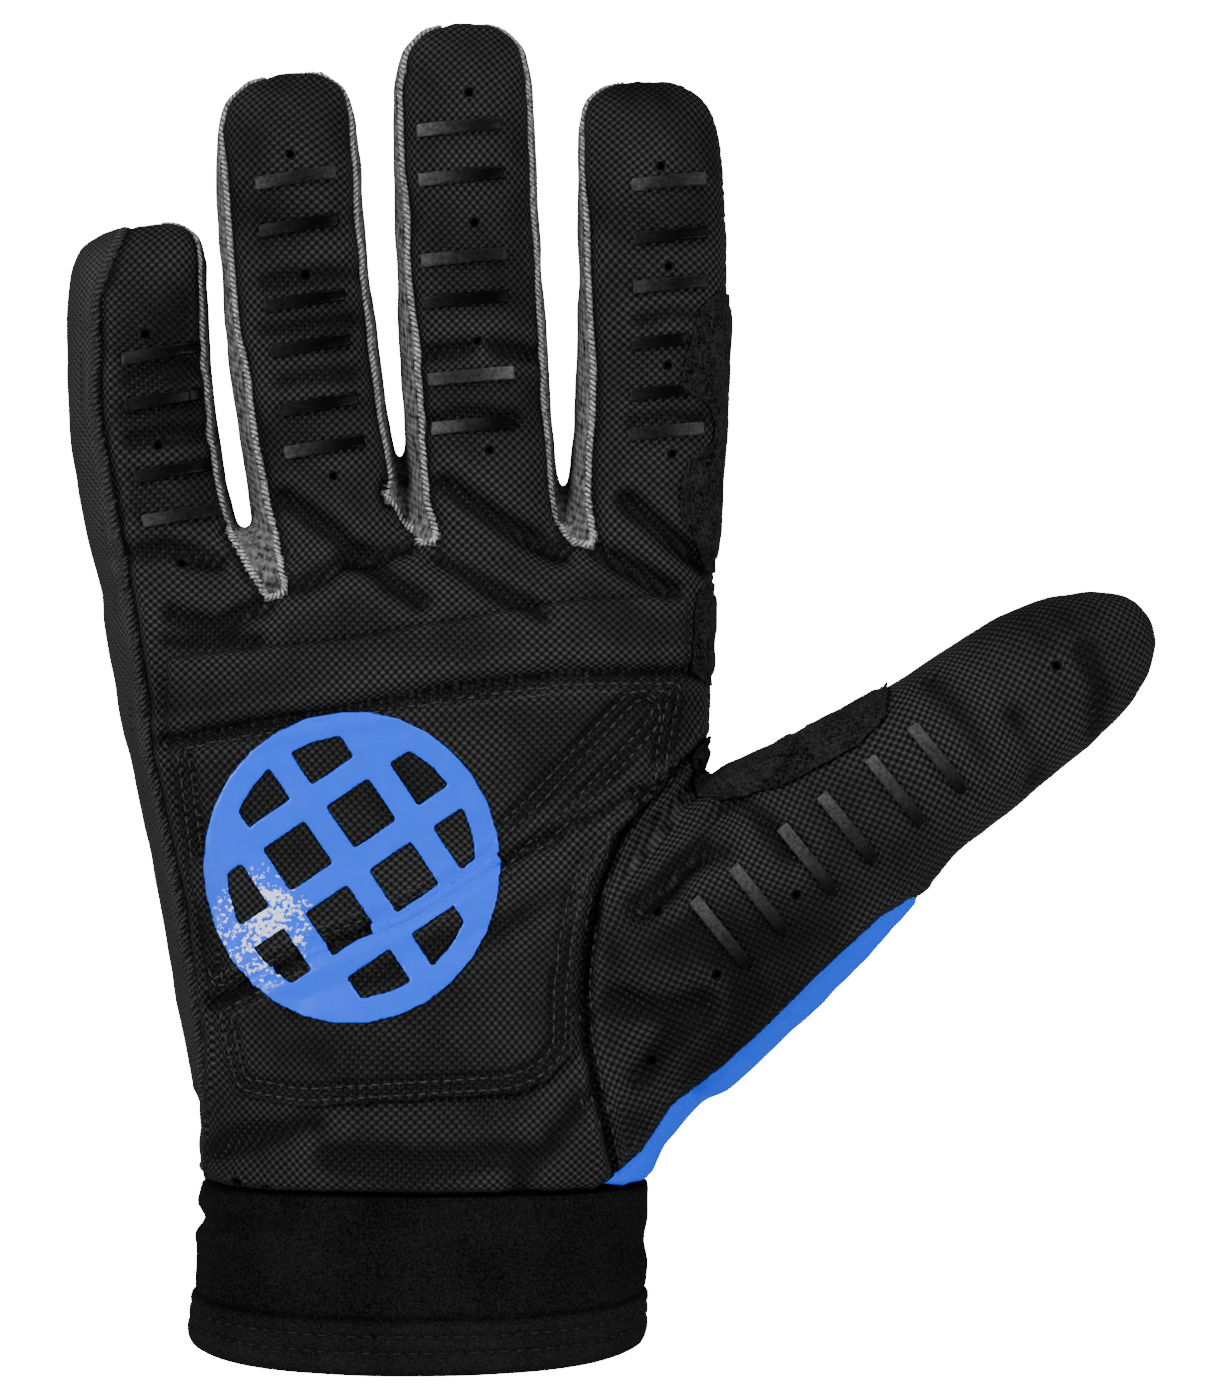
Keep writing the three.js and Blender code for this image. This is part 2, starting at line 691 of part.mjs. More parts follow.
// The cloth panels, cut from one shell
const shell = handForm(0).subtract(handForm(-WALL));
const half = SEAM_GAP / 2;
const frontHalf = halfSpace(-1, -half);
const backHalf = halfSpace(1, half);
const sideReach = sideArea(-half).intersect(halfSpace(-1, SIDE_REACH - half));
const sideCut = sideArea(half).intersect(halfSpace(-1, SIDE_REACH + half));
const gussetCut = gussetSpaces(half);
const fabric = shell.subtract(gussetCut).subtract(sideCut);
const wrapKept = wrapArea(half);
const capKept = thumbCap(half);

const palmCloth = fabric.intersect(frontHalf).subtract(wrapKept).subtract(thumbArea(half));
const thumbFront = fabric.intersect(frontHalf).intersect(thumbArea(-half)).subtract(wrapKept);
const thumbCloth = thumbFront.add(shell.intersect(thumbCap(0)));
const backCloth = fabric.intersect(backHalf.add(wrapArea(-half))).subtract(capKept);

// The vent holes go straight through the front of the cloth
const fingerVents = Object.values(FINGERS).flatMap((finger) =>
  finger.vents.map((at) => {
    const u = VENT_ASIDE * finger.width + bowAt(finger, at);
    return fingerPoint(finger, u, at * finger.length);
  }),
);
const palmDrills = union([...fingerVents, ...PALM_VENTS.map(onPalm)].map(ventDrill));
const thumbDrills = union(THUMB_VENTS.map(onThumb).map(ventDrill));

piece("palm_panel", MATERIALS.leather, palmCloth.subtract(palmDrills));
piece("thumb_panel", MATERIALS.leather, thumbCloth.subtract(thumbDrills));
piece("back_panel", MATERIALS.back, backCloth);
piece("outer_side_panel", MATERIALS.stretch, shell.intersect(sideReach));
for (const [left, right] of GUSSETS) {
  const space = gussetSpace(FINGERS[left], FINGERS[right], -half);
  piece(`gusset_${left}_${right}`, MATERIALS.knit, shell.intersect(space));
}

// Layers sewn or moulded on the outside: the space between two growths of the hand form
const padTop = SEAM_GAP + OVERLAY_THICK;
const padShape = prism(PAD_OUTLINE.map(onPalm)).intersect(frontHalf);
const padLayer = handForm(padTop).subtract(handForm(SEAM_GAP));
const foldLayer = handForm(padTop + PAD_FOLD_CLEAR).subtract(handForm(padTop - PAD_FOLD_DEPTH));
const padFolds = PAD_FOLDS.map((fold) => {
  const line = fold.map(onPalm);
  const edge = PAD_FOLD_WIDTH / 2;
  return foldLayer.intersect(prism([...shifted(line, edge), ...shifted(line, -edge).reverse()], -FAR, 0));
});
piece("palm_pad", MATERIALS.leather, padLayer.intersect(padShape).subtract(union(padFolds)));

const patchLayer = handForm(SEAM_GAP + PATCH_THICK).subtract(handForm(SEAM_GAP));
const PATCHES = {
  index_side_patch: INDEX_SIDE_OUTLINE.map(onPalm),
  index_knuckle_patch: INDEX_KNUCKLE_OUTLINE.map(onPalm),
  thumb_crotch_patch: THUMB_CROTCH_OUTLINE.map(onThumb),
};
for (const [name, outline] of Object.entries(PATCHES)) {
  const shape = prism(outline).intersect(halfSpace(-1, PATCH_REACH));
  piece(name, MATERIALS.suede, patchLayer.intersect(shape));
}

// The print: crossing bands inside an oval ring, on top of the pad
function printShape() {
  const centre = onPalm(PRINT);
  const oval = (inset) => {
    const [rx, rz] = [(PRINT.width * HAND_WIDTH) / 2 - inset, (PRINT.height * PALM_LENGTH) / 2 - inset];
    const outline = Array.from({ length: PRINT.sides }, (_, i) => {
      const angle = (2 * Math.PI * i) / PRINT.sides;
      return { x: centre.x + rx * Math.cos(angle), z: centre.z + rz * Math.sin(angle) };
    });
    return prism(outline, -FAR, 0);
  };
  const band = (index, slant) => {
    const turn = THREE.MathUtils.degToRad(slant);
    const [c, s] = [Math.cos(turn), Math.sin(turn)];
    const corner = (u, v) => ({ x: centre.x + u * c - v * s, z: centre.z + u * s + v * c });
    const middle = index * PRINT.pitch;
    const edge = PRINT.band / 2;
    const outline = [
      corner(-HAND_WIDTH, middle - edge),
      corner(HAND_WIDTH, middle - edge),
      corner(HAND_WIDTH, middle + edge),
      corner(-HAND_WIDTH, middle + edge),
    ];
    return prism(outline, -FAR, 0);
  };
  const indices = Array.from({ length: 2 * PRINT.rows + 1 }, (_, i) => i - PRINT.rows);
  const bands = PRINT.slants.flatMap((slant) => indices.map((index) => band(index, slant)));
  const ring = oval(0).subtract(oval(PRINT.rim));
  return union(bands).intersect(oval(0)).add(ring);
}
const printLayer = handForm(padTop + SEAM_GAP + PRINT_THICK).subtract(handForm(padTop + SEAM_GAP));
piece("palm_print", MATERIALS.print, printLayer.intersect(printShape()));

// A grip bar across a finger at a share of its length, as an outline in x and z
function barOutline(point, { at, from, to, tilt, width, length }) {
  const thick = BAR_WIDTH / 2;
  const rise = Math.tan(THREE.MathUtils.degToRad(tilt));
  const [a, b] = [(from * width) / 2, (to * width) / 2];
  const corner = (u, side) => point(u, at * length + u * rise + side * thick);
  return prism([corner(a, -1), corner(b, -1), corner(b, 1), corner(a, 1)], -FAR, 0);
}
const patchEdge = INDEX_SIDE_OUTLINE.map(onPalm).map(({ x, z }) => ({ x: x - 2 * SEAM_GAP, z }));
const besidePatch = prism(patchEdge); // the bars on the first finger stop at its suede patch
const barLayer = handForm(SEAM_GAP + BAR_THICK).subtract(handForm(SEAM_GAP));
function bars(name, point, { bars: rows, width, length }) {
  rows.forEach((row, i) => {
    const shape = barOutline(point, { ...BAR_SPAN[name], ...row, width, length });
    piece(`bar_${name}_${i + 1}`, MATERIALS.bar, barLayer.intersect(shape).subtract(besidePatch));
  });
}
for (const [name, finger] of Object.entries(FINGERS)) {
  bars(name, (u, w) => fingerPoint(finger, u + bowAt(finger, w / finger.length), w), finger);
}
bars("thumb", thumbPoint, THUMB);

// The cuff, as rings of one outline at rising heights, with a thinner lip up inside the glove
function cuffRing(grow, at) {
  const share = THREE.MathUtils.clamp(at / CUFF_HEIGHT, 0, 1);
  const [wrist] = PALM_SECTIONS;
  const ends = {
    left: [CUFF_WIDTH / 2, wrist.left * halfWidth],
    right: [CUFF_WIDTH / 2, wrist.right * halfWidth],
    front: [CUFF_DEPTH / 2, wrist.front * halfDepth],
    back: [CUFF_DEPTH / 2, wrist.back * halfDepth],
  };
  const mixed = ([rim, top]) => rim + (top - rim) * share + grow;
  const section = roundedSection({
    sides: PALM_SIDES,
    left: mixed(ends.left),
    right: mixed(ends.right),
    front: mixed(ends.front),
    back: mixed(ends.back),
    squareness: WRIST_SQUARENESS,
  });
  return section.map(([x, y]) => {
    const dip = HEM_DIP * Math.max(0, -y / (CUFF_DEPTH / 2)) * (1 - share);
    return new THREE.Vector3(x, y, at - dip);
  });
}
const band = (profile) => loop(profile.map(([grow, at]) => cuffRing(grow, at)));
const cuffTop = CUFF_HEIGHT - SEAM_GAP;
const lip = WALL + 2 * SEAM_GAP;
piece("cuff", MATERIALS.neoprene, band([
  [0, HEM_FOLD],
  [0, cuffTop],
  [-lip, cuffTop],
  [-lip, CUFF_HEIGHT + CUFF_TUCK],
  [-CUFF_WALL, CUFF_HEIGHT + CUFF_TUCK],
  [-CUFF_WALL, HEM_FOLD],
]));
const hemFace = HEM_PROUD + SEAM_GAP;
const hemFoot = HEM_FOLD - SEAM_GAP;
piece("cuff_hem", MATERIALS.neoprene, band([
  [-CUFF_WALL, 0],
  [0, 0],
  [hemFace, hemFoot],
  [hemFace, HEM_HEIGHT],
  [SEAM_GAP, HEM_HEIGHT],
  [SEAM_GAP, hemFoot],
  [-CUFF_WALL - SEAM_GAP, hemFoot],
  [-CUFF_WALL - SEAM_GAP, HEM_HEIGHT],
  [-CUFF_WALL - hemFace, HEM_HEIGHT],
  [-CUFF_WALL - hemFace, hemFoot],
]));

export default glove;
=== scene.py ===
# %% [markdown]
# # Dressing a fishing glove
# The CAD frame gives the glove its cut: panels, gussets, cuff, pads and grip bars, all with flat
# facets. Here each of them gets its cloth, its folds, its stitches and its shine.
# Lengths are in metres, so MM turns a size in millimetres into one of Blender's.

import math
from collections import namedtuple

import bmesh
import bpy
import numpy as np
from mathutils import Matrix, Vector
from mathutils.bvhtree import BVHTree
from mathutils.kdtree import KDTree


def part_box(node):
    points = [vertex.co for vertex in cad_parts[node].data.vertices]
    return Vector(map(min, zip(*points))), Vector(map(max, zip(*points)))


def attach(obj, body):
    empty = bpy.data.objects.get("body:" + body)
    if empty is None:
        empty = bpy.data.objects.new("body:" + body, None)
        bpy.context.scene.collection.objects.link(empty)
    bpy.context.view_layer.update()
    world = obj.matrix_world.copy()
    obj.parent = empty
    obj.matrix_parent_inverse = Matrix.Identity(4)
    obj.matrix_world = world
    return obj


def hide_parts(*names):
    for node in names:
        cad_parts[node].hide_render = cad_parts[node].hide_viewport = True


MM = 0.001
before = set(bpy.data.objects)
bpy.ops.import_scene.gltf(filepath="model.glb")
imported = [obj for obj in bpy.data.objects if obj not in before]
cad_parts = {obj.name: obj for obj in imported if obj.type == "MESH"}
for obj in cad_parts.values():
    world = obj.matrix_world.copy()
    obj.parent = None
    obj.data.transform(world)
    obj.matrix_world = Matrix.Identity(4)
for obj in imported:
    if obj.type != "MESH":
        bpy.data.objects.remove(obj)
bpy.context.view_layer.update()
FINE = 1.0  # quick trials use coarser meshes

# %% [markdown]
# ## The skin
# A real glove is sewn from flat cloth and takes a round form when it is worn, so its surface runs
# smoothly on across the seams. One skin is therefore made for all the cloth panels together: their
# solids are grown until they touch, turned into one fine mesh, and smoothed. Modelling each panel
# by itself would be simpler, but their edges would never quite meet. The little finger's tip is
# leaned outwards by a third of a millimetre, so that the mesh keeps it clear of the ring finger.

# %% Copies of the CAD solids
CLOTH = [
    "palm_panel",
    "thumb_panel",
    "back_panel",
    "outer_side_panel",
    "gusset_pinky_ring",
    "gusset_ring_middle",
    "gusset_middle_index",
]


def cad_bmesh(nodes, grow=0.0):
    """The solids of some nodes in one bmesh, corners merged, every face moved out by grow."""
    bm = bmesh.new()
    for node in nodes:
        part = bmesh.new()
        part.from_mesh(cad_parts[node].data)
        bmesh.ops.remove_doubles(part, verts=part.verts, dist=1e-6)
        bmesh.ops.recalc_face_normals(part, faces=part.faces)
        part.normal_update()
        for vert in part.verts:
            vert.co += vert.normal * grow
        spare = bpy.data.meshes.new("spare")
        part.to_mesh(spare)
        part.free()
        bm.from_mesh(spare)
        bpy.data.meshes.remove(spare)
    return bm


def cad_tree(*nodes):
    """A search tree over the solids of some nodes."""
    bm = cad_bmesh(nodes)
    tree = BVHTree.FromBMesh(bm)
    bm.free()
    return tree


def mesh_tree(mesh):
    """A search tree over a mesh."""
    places = [vert.co for vert in mesh.vertices]
    return BVHTree.FromPolygons(places, [face.vertices for face in mesh.polygons])


def remeshed(bm, voxel, smoothing):
    """A bmesh turned into an even mesh of small squares, then smoothed."""
    mesh = bpy.data.meshes.new("remesh")
    bm.to_mesh(mesh)
    bm.free()
    obj = bpy.data.objects.new("remesh", mesh)
    bpy.context.scene.collection.objects.link(obj)
    even = obj.modifiers.new("even", "REMESH")
    even.mode = "VOXEL"
    even.voxel_size = voxel
    soft = obj.modifiers.new("soft", "SMOOTH")
    soft.factor = 0.5
    soft.iterations = smoothing
    graph = bpy.context.evaluated_depsgraph_get()
    made = bpy.data.meshes.new_from_object(obj.evaluated_get(graph))
    bpy.data.objects.remove(obj)
    bpy.data.meshes.remove(mesh)
    return made


def mesh_of(bm, name):
    """Turns a bmesh into a mesh and frees it."""
    mesh = bpy.data.meshes.new(name)
    bm.to_mesh(mesh)
    bm.free()
    return mesh


# %% The skin as one mesh
GROWTH = 0.18 * MM  # closes the gaps between the solids
SKIN_SQUARE = 0.8 * MM
BETWEEN_FINGERS = -34.5 * MM  # the little finger lies to the left of this
LEAN = 0.35 * MM
LEAN_FROM, LEAN_OVER = 168, 14  # millimetres up, and on from there until the lean is whole

form = cad_bmesh(CLOTH, grow=GROWTH)
for vert in form.verts:
    if vert.co.x < BETWEEN_FINGERS:
        vert.co.x -= LEAN * min(max((vert.co.z / MM - LEAN_FROM) / LEAN_OVER, 0), 1)
skin = remeshed(form, SKIN_SQUARE * FINE, 29)
print("the skin has", len(skin.polygons), "faces")

# %% [markdown]
# ## Room for the vent holes
# The leather is punched with small holes. A hole of 1 mm is lost between squares of 0.8 mm, so
# the skin is divided more finely just round each hole, and the pit is pressed in later on, with
# the folds.

# %% Finer squares round the holes
VENT_RADIUS = 0.55
# Each hole's middle, as x and z in millimetres
VENTS = [
    (-45.2, 168.7), (-43.2, 150.0), (-39.2, 130.4),
    (-20.7, 198.5), (-18.3, 178.5), (-13.7, 144.9),
    (9.1, 208.7), (10.0, 187.2), (10.5, 167.5), (12.5, 149.2),
    (41.1, 196.5), (42.5, 179.9), (42.3, 163.4), (43.1, 148.6),
    (106.8, 113.1), (63.5, 75.1), (40.5, 72.4), (50.3, 61.9), (39.6, 47.4),
    (-29.3, 27.3), (-24.2, 26.6),
]  # fmt: skip


def divided_near(mesh, places, reach, cuts):
    """Divides the squares of a mesh that face the front near some places."""
    bm = bmesh.new()
    bm.from_mesh(mesh)
    bm.normal_update()
    chosen = {}
    tree = KDTree(len(places))
    for i, (x, z) in enumerate(places):
        tree.insert((x * MM, 0, z * MM), i)
    tree.balance()
    for face in bm.faces:
        middle = face.calc_center_median()
        if face.normal.y < -0.3 and middle.y < 0:
            if tree.find((middle.x, 0, middle.z))[2] < reach * MM:
                chosen.update(dict.fromkeys(face.edges))
    bmesh.ops.subdivide_edges(bm, edges=list(chosen), cuts=cuts, use_grid_fill=True)
    bmesh.ops.triangulate(bm, faces=[face for face in bm.faces if len(face.verts) > 4])
    bm.to_mesh(mesh)
    bm.free()


divided_near(skin, VENTS, reach=1.6, cuts=3)
print("with room for", len(VENTS), "holes it has", len(skin.polygons), "faces")

# %% [markdown]
# ## Splitting the skin into its panels
# Each face of the skin goes to the panel whose solid is nearest. Cutting the skin with planes
# would do for a box, but a glove's seams wind round the fingers, and the solids already know where.

# %% Sorting the faces by panel
panel_trees = [cad_tree(node) for node in CLOTH]


def coordinates(mesh):
    """The places of a mesh's points, as rows."""
    co = np.empty(len(mesh.vertices) * 3)
    mesh.vertices.foreach_get("co", co)
    return co.reshape(-1, 3)


def point_normals(mesh):
    """The directions that a mesh's points face, as rows."""
    return np.array([vert.normal for vert in mesh.vertices])


def nearest_panel(point):
    """The number of the panel whose solid is nearest to a point."""
    best = min((tree.find_nearest(point)[3], i) for i, tree in enumerate(panel_trees))
    return best[1]


panel_of = np.array([nearest_panel(face.center) for face in skin.polygons])
print("faces of each panel:", dict(zip(CLOTH, np.bincount(panel_of).tolist())))

# %% [markdown]
# ## The gussets' ends on the palm
# Between two fingers the grey cloth is sewn into a slit in the palm, and shows there as a rounded
# tongue. Each tongue is laid down as two circles joined by a band, and the faces of the palm that
# lie within it change over to the gusset. Three numbers for each circle are easier to place than
# a drawn outline would be.

# %% Tongues on the palm
# A circle is its middle's x and z and its radius, in millimetres
Tongue = namedtuple("Tongue", "gusset top foot")
TONGUES = [
    Tongue("gusset_pinky_ring", (-27.9, 137.2, 4.3), (-23.5, 126.2, 2.3)),
    Tongue("gusset_ring_middle", (-2.0, 142.5, 3.3), (1.8, 135.0, 2.5)),
    Tongue("gusset_middle_index", (26.6, 142.5, 2.4), (28.7, 134.6, 1.9)),
]
for tongue in TONGUES:
    top, foot = np.array(tongue.top), np.array(tongue.foot)
    for face in skin.polygons:
        if panel_of[face.index] == 0 and face.normal.y < -0.15 and face.center.y < -2 * MM:
            place = np.array([face.center.x, face.center.z]) / MM
            along = (place - top[:2]) @ (foot - top)[:2] / ((foot - top)[:2] @ (foot - top)[:2])
            middle = top + np.clip(along, 0, 1) * (foot - top)
            if np.hypot(*(place - middle[:2])) < middle[2]:
                panel_of[face.index] = CLOTH.index(tongue.gusset)
print("faces with the tongues:", dict(zip(CLOTH, np.bincount(panel_of).tolist())))

# %% [markdown]
# ## The seams
# The line between two panels runs in steps from square to square. Its points are therefore slid
# sideways on to the true seam, which lies halfway across the small gap between the two solids.

# %% Seams between neighbours
GAP = 0.3 * MM  # between two solids
FARTHEST_SLIDE = 1.2 * MM


def seam_edges():
    """The skin's edges between two panels: for each pair of panels, its pairs of points."""
    owner = {}
    found = {}
    for face, panel in zip(skin.polygons, panel_of):
        for key in face.edge_keys:
            other = owner.setdefault(key, int(panel))
            if other != panel:
                found.setdefault(tuple(sorted((other, int(panel)))), []).append(key)
    return found


seams = seam_edges()
seam_pair = {}
for pair, edges in seams.items():
    for edge in edges:
        for index in edge:
            seam_pair.setdefault(index, set()).update(pair)
normals = point_normals(skin)
co = coordinates(skin)
for index, panels in seam_pair.items():
    if len(panels) != 2:
        continue
    point = Vector(co[index])
    near = [panel_trees[panel].find_nearest(point)[0] for panel in panels]
    far_side = max(near, key=lambda place: (place - point).length)
    way = far_side - point
    normal = Vector(normals[index])
    way -= normal * way.dot(normal)
    slide = way.length - GAP / 2
    if 0 < slide < FARTHEST_SLIDE * FINE:
        co[index] = point + way.normalized() * slide
skin.vertices.foreach_set("co", co.ravel())
skin.update()
print("the seams have", len(seam_pair), "points")

# %% [markdown]
# ## Outside and inside
# The skin has two sides, because the glove is hollow. A dent has to move both the same way, or
# the cloth would get thin there. A point is on the outside if it sees daylight: a line from it,
# slanted to the front, the back or the top, leaves the glove without meeting it again.

# %% Telling the sides apart
LOOKS = [Vector((0, -4, 0)), Vector((0, 4, 0)), Vector((0, 0, 1.2)), Vector((0, 0, 0))]
bare_tree = mesh_tree(skin)


def sees_daylight(point, normal):
    """True if some slanted line from the point leaves the glove."""
    start = point + normal * 0.05 * MM
    for look in LOOKS:
        if bare_tree.ray_cast(start, (normal + look).normalized())[0] is None:
            if look.dot(normal) > -0.2 * look.length:
                return True
    return False


outside = np.array(
    [sees_daylight(Vector(point), Vector(normal)) for point, normal in zip(co, normals)]
)
side = np.where(outside, 1.0, -1.0)
print("on the outside:", int(outside.sum()), "of", len(outside), "points")

# %% [markdown]
# ## Folds
# Cloth that bends has to go somewhere: across each finger joint it dips, and it rides up beside
# the dip. Seams are drawn in by their thread. Both are dents whose depth falls off smoothly with
# the distance from a line, so one function serves for all of them. Sculpting them by hand would
# be freer, but a short table of lines can be read and changed. The back has a table of its own.

# %% Dents along lines
Fold = namedtuple("Fold", "depth width line")  # in millimetres; the line's points are x and z
FOLDS = [
    # across the fingers' joints
    Fold(0.75, 1.5, [(2.6, 165.4), (9.0, 166.5)]),
    Fold(0.75, 1.5, [(13.0, 166.7), (19.3, 165.4)]),
    Fold(0.45, 1.4, [(1.8, 154.0), (9.3, 155.0), (16.3, 154.4)]),
    Fold(0.5, 1.6, [(-25.3, 177.0), (-19.0, 178.0), (-10.7, 179.0)]),
    Fold(0.5, 1.5, [(-23.7, 160.4), (-19.0, 161.4), (-10.3, 162.0)]),
    Fold(0.45, 1.5, [(-25.7, 169.0), (-19.0, 169.7), (-10.7, 171.0)]),
    Fold(0.55, 1.5, [(37.6, 170.7), (43.0, 172.0), (48.5, 171.4)]),
    Fold(0.5, 1.4, [(36.3, 154.0), (42.6, 155.0), (47.6, 154.4)]),
    Fold(0.6, 1.6, [(-47.7, 161.0), (-42.3, 162.4), (-34.3, 163.7)]),
    Fold(0.5, 1.5, [(-47.3, 150.7), (-40.7, 151.7), (-33.2, 152.4)]),
    # at the roots of the fingers
    Fold(0.7, 1.8, [(-49.0, 131.6), (-42.3, 132.7), (-33.2, 130.7)]),
    Fold(1.1, 1.9, [(-40.7, 121.6), (-33.2, 119.4), (-25.3, 123.1)]),
    Fold(0.8, 1.6, [(-41.5, 117.4), (-34.8, 116.4), (-26.5, 117.4)]),
    Fold(0.9, 1.9, [(-19.0, 126.6), (-11.5, 130.7), (-2.4, 132.7)]),
    Fold(0.9, 1.8, [(-22.0, 141.0), (-12.5, 134.5), (-5.0, 128.0), (1.0, 124.0)]),
    Fold(1.0, 1.8, [(5.0, 143.5), (14.0, 137.5), (24.3, 132.0)]),
    Fold(0.8, 1.6, [(4.0, 131.5), (12.0, 126.5), (22.0, 121.5)]),
    Fold(1.2, 1.8, [(35.5, 140.5), (41.5, 135.5), (49.5, 129.6)]),
    Fold(0.9, 1.6, [(30.8, 132.3), (36.0, 129.5), (43.0, 125.6)]),
    # across the palm
    Fold(0.9, 1.4, [(-42.3, 100.6), (-11.3, 106.2), (5.1, 109.4), (24.3, 111.9), (47.6, 112.2)]),
    Fold(0.8, 1.4, [(-33.3, 57.1), (-17.7, 65.3), (-1.4, 71.4), (12.1, 79.6), (42.6, 94.1)]),
    Fold(0.5, 2.2, [(-19.0, 57.4), (-2.4, 63.3), (14.3, 69.9), (24.3, 75.7)]),
    Fold(0.5, 2.0, [(-33.2, 32.4), (-25.7, 35.8), (-15.7, 37.8)]),
    Fold(0.6, 2.4, [(-14.0, 32.4), (1.0, 30.8), (17.6, 32.4)]),
    Fold(0.6, 2.2, [(17.6, 27.4), (24.3, 35.8), (29.3, 42.4)]),
    # on the thumb and its root
    Fold(0.8, 2.2, [(37.6, 73.2), (44.3, 79.9), (51.3, 82.4)]),
    Fold(0.7, 2.0, [(51.0, 89.1), (46.0, 82.4), (41.8, 75.7)]),
    Fold(0.6, 2.2, [(34.3, 57.4), (41.0, 55.8), (47.6, 57.4)]),
    Fold(0.6, 2.2, [(54.3, 90.7), (59.3, 85.7), (62.6, 82.4)]),
    Fold(0.6, 2.4, [(85.9, 110.7), (90.9, 104.1), (95.1, 97.4)]),
    Fold(0.5, 2.0, [(111.8, 114.9), (114.3, 109.1), (113.4, 102.4)]),
    Fold(0.5, 2.2, [(99.3, 104.1), (103.4, 97.4), (104.3, 92.4)]),
    Fold(0.6, 2.0, [(37.6, 44.9), (41.8, 50.8), (47.6, 55.8)]),
]
BACK_FOLDS = [
    # over the fingers' joints
    Fold(0.5, 1.7, [(-49.0, 152.0), (-36.0, 153.5)]),
    Fold(0.4, 1.6, [(-49.0, 156.5), (-37.0, 157.0)]),
    Fold(0.5, 1.7, [(-26.0, 162.0), (-11.0, 163.5)]),
    Fold(0.4, 1.6, [(-26.0, 167.0), (-12.0, 168.0)]),
    Fold(0.5, 1.7, [(1.0, 166.0), (18.0, 167.0)]),
    Fold(0.4, 1.6, [(2.0, 171.0), (18.0, 171.5)]),
    Fold(0.5, 1.7, [(34.0, 161.0), (50.0, 160.0)]),
    Fold(0.4, 1.6, [(35.0, 165.5), (50.0, 165.0)]),
    # between the roots of the fingers, across the lower back, and at the root of the thumb
    Fold(0.6, 3.0, [(-33.0, 128.0), (-30.0, 112.0)]),
    Fold(0.6, 3.0, [(-4.0, 132.0), (-5.0, 114.0)]),
    Fold(0.6, 3.0, [(26.0, 131.0), (22.0, 113.0)]),
    Fold(0.5, 2.6, [(-30.0, 38.0), (0.0, 34.0), (30.0, 39.0)]),
    Fold(0.5, 2.4, [(-24.0, 45.0), (6.0, 42.0)]),
    Fold(0.7, 2.6, [(46.0, 62.0), (56.0, 76.0), (62.0, 90.0)]),
]


def line_distance(points, line):
    """How far points (rows of two numbers) are from a line of such points."""
    best = np.full(len(points), np.inf)
    for a, b in zip(line, line[1:]):
        a, b = np.array(a), np.array(b)
        along = np.clip(((points - a) @ (b - a)) / ((b - a) @ (b - a)), 0, 1)
        gap = points - (a + along[:, None] * (b - a))
        best = np.minimum(best, np.hypot(gap[:, 0], gap[:, 1]))
    return best


def fold_dip(points, fold):
    """How deep a fold is at some points, with the cloth riding up a little on both sides."""
    away = line_distance(points, fold.line) / fold.width
    return fold.depth * (np.exp(-(away**2)) - 0.35 * np.exp(-((away - 1.9) ** 2)))


def bumpy(points, size, seed):
    """Smooth unevenness of about the given size, mostly between -1 and 1."""
    rng = np.random.default_rng(seed)
    total = np.zeros(len(points))
    for _ in range(7):
        way = rng.normal(size=3)
        way *= 2 * math.pi * rng.uniform(0.6, 1.5) / (np.linalg.norm(way) * size)
        total += np.sin(points @ way + rng.uniform(0, 6.3))
    return total / 4.5


flat = co[:, [0, 2]] / MM
depths = sum(fold_dip(flat, fold) for fold in FOLDS)
depths *= np.clip(-normals[:, 1] * side * 1.6, 0, 1)
back_depths = sum(fold_dip(flat, fold) for fold in BACK_FOLDS)
depths += back_depths * np.clip(normals[:, 1] * side * 1.6, 0, 1)
print(len(FOLDS) + len(BACK_FOLDS), "folds, up to", round(float(depths.max()), 2), "mm deep")

# %% [markdown]
# ## Drawing the seams in
# A seam lies deeper than the cloth beside it, and the cloth puckers next to it where the thread
# pulls. The long seams by the thumb and the little finger carry the most load, and are deepest.
# The same sum of dents takes them in: a groove at the seam, and an uneven swelling beside it.

# %% Drawing the seams in
SEAM_DEPTH = {  # millimetres, where it isn't the usual depth
    (0, 1): 0.9,
    (0, 3): 0.8,
    (1, 2): 0.5,
    (2, 3): 0.3,
}
USUAL_DEPTH = 0.35
GROOVE_WIDTH, SWELLING_AT, SWELLING_WIDTH = 0.8, 1.9, 0.85  # millimetres across the seam
seam_index = list(seam_pair)
seam_tree = KDTree(len(seam_index))
for number, index in enumerate(seam_index):
    seam_tree.insert(co[index], number)
seam_tree.balance()
pull = np.array([SEAM_DEPTH.get(tuple(sorted(seam_pair[i]))[:2], USUAL_DEPTH) for i in seam_index])
found = [seam_tree.find(point)[1:] for point in co]
to_seam = np.array([distance for _, distance in found]) / MM
strength = pull[[number for number, _ in found]]
# The thread is slack towards the little finger's tip
little_finger = co[:, 0] < -36 * MM
slack = np.interp(co[:, 2] / MM, [170, 179], [1, 0.3])
strength = np.where(little_finger, strength * slack, strength)
pucker = 1 + 0.7 * bumpy(co / MM, 3.2, 3)
depths += strength * np.exp(-((to_seam / GROOVE_WIDTH) ** 2))
swelling = np.exp(-(((to_seam - SWELLING_AT) / SWELLING_WIDTH) ** 2))
depths -= 0.5 * strength * swelling * pucker
depths += 0.2 * bumpy(co / MM, 17.0, 1) + 0.09 * bumpy(co / MM, 6.5, 2)
print("seams pull up to", round(float(strength.max()), 2), "mm deep")

# %% [markdown]
# ## Pressing the vent holes in
# A punched hole has a crisp rim that the punch has pushed up a little. Here it is a pit with a
# steep wall in the finer squares, which looks the same from outside. A real cut through both
# faces of the cloth would have to be joined up at its wall.

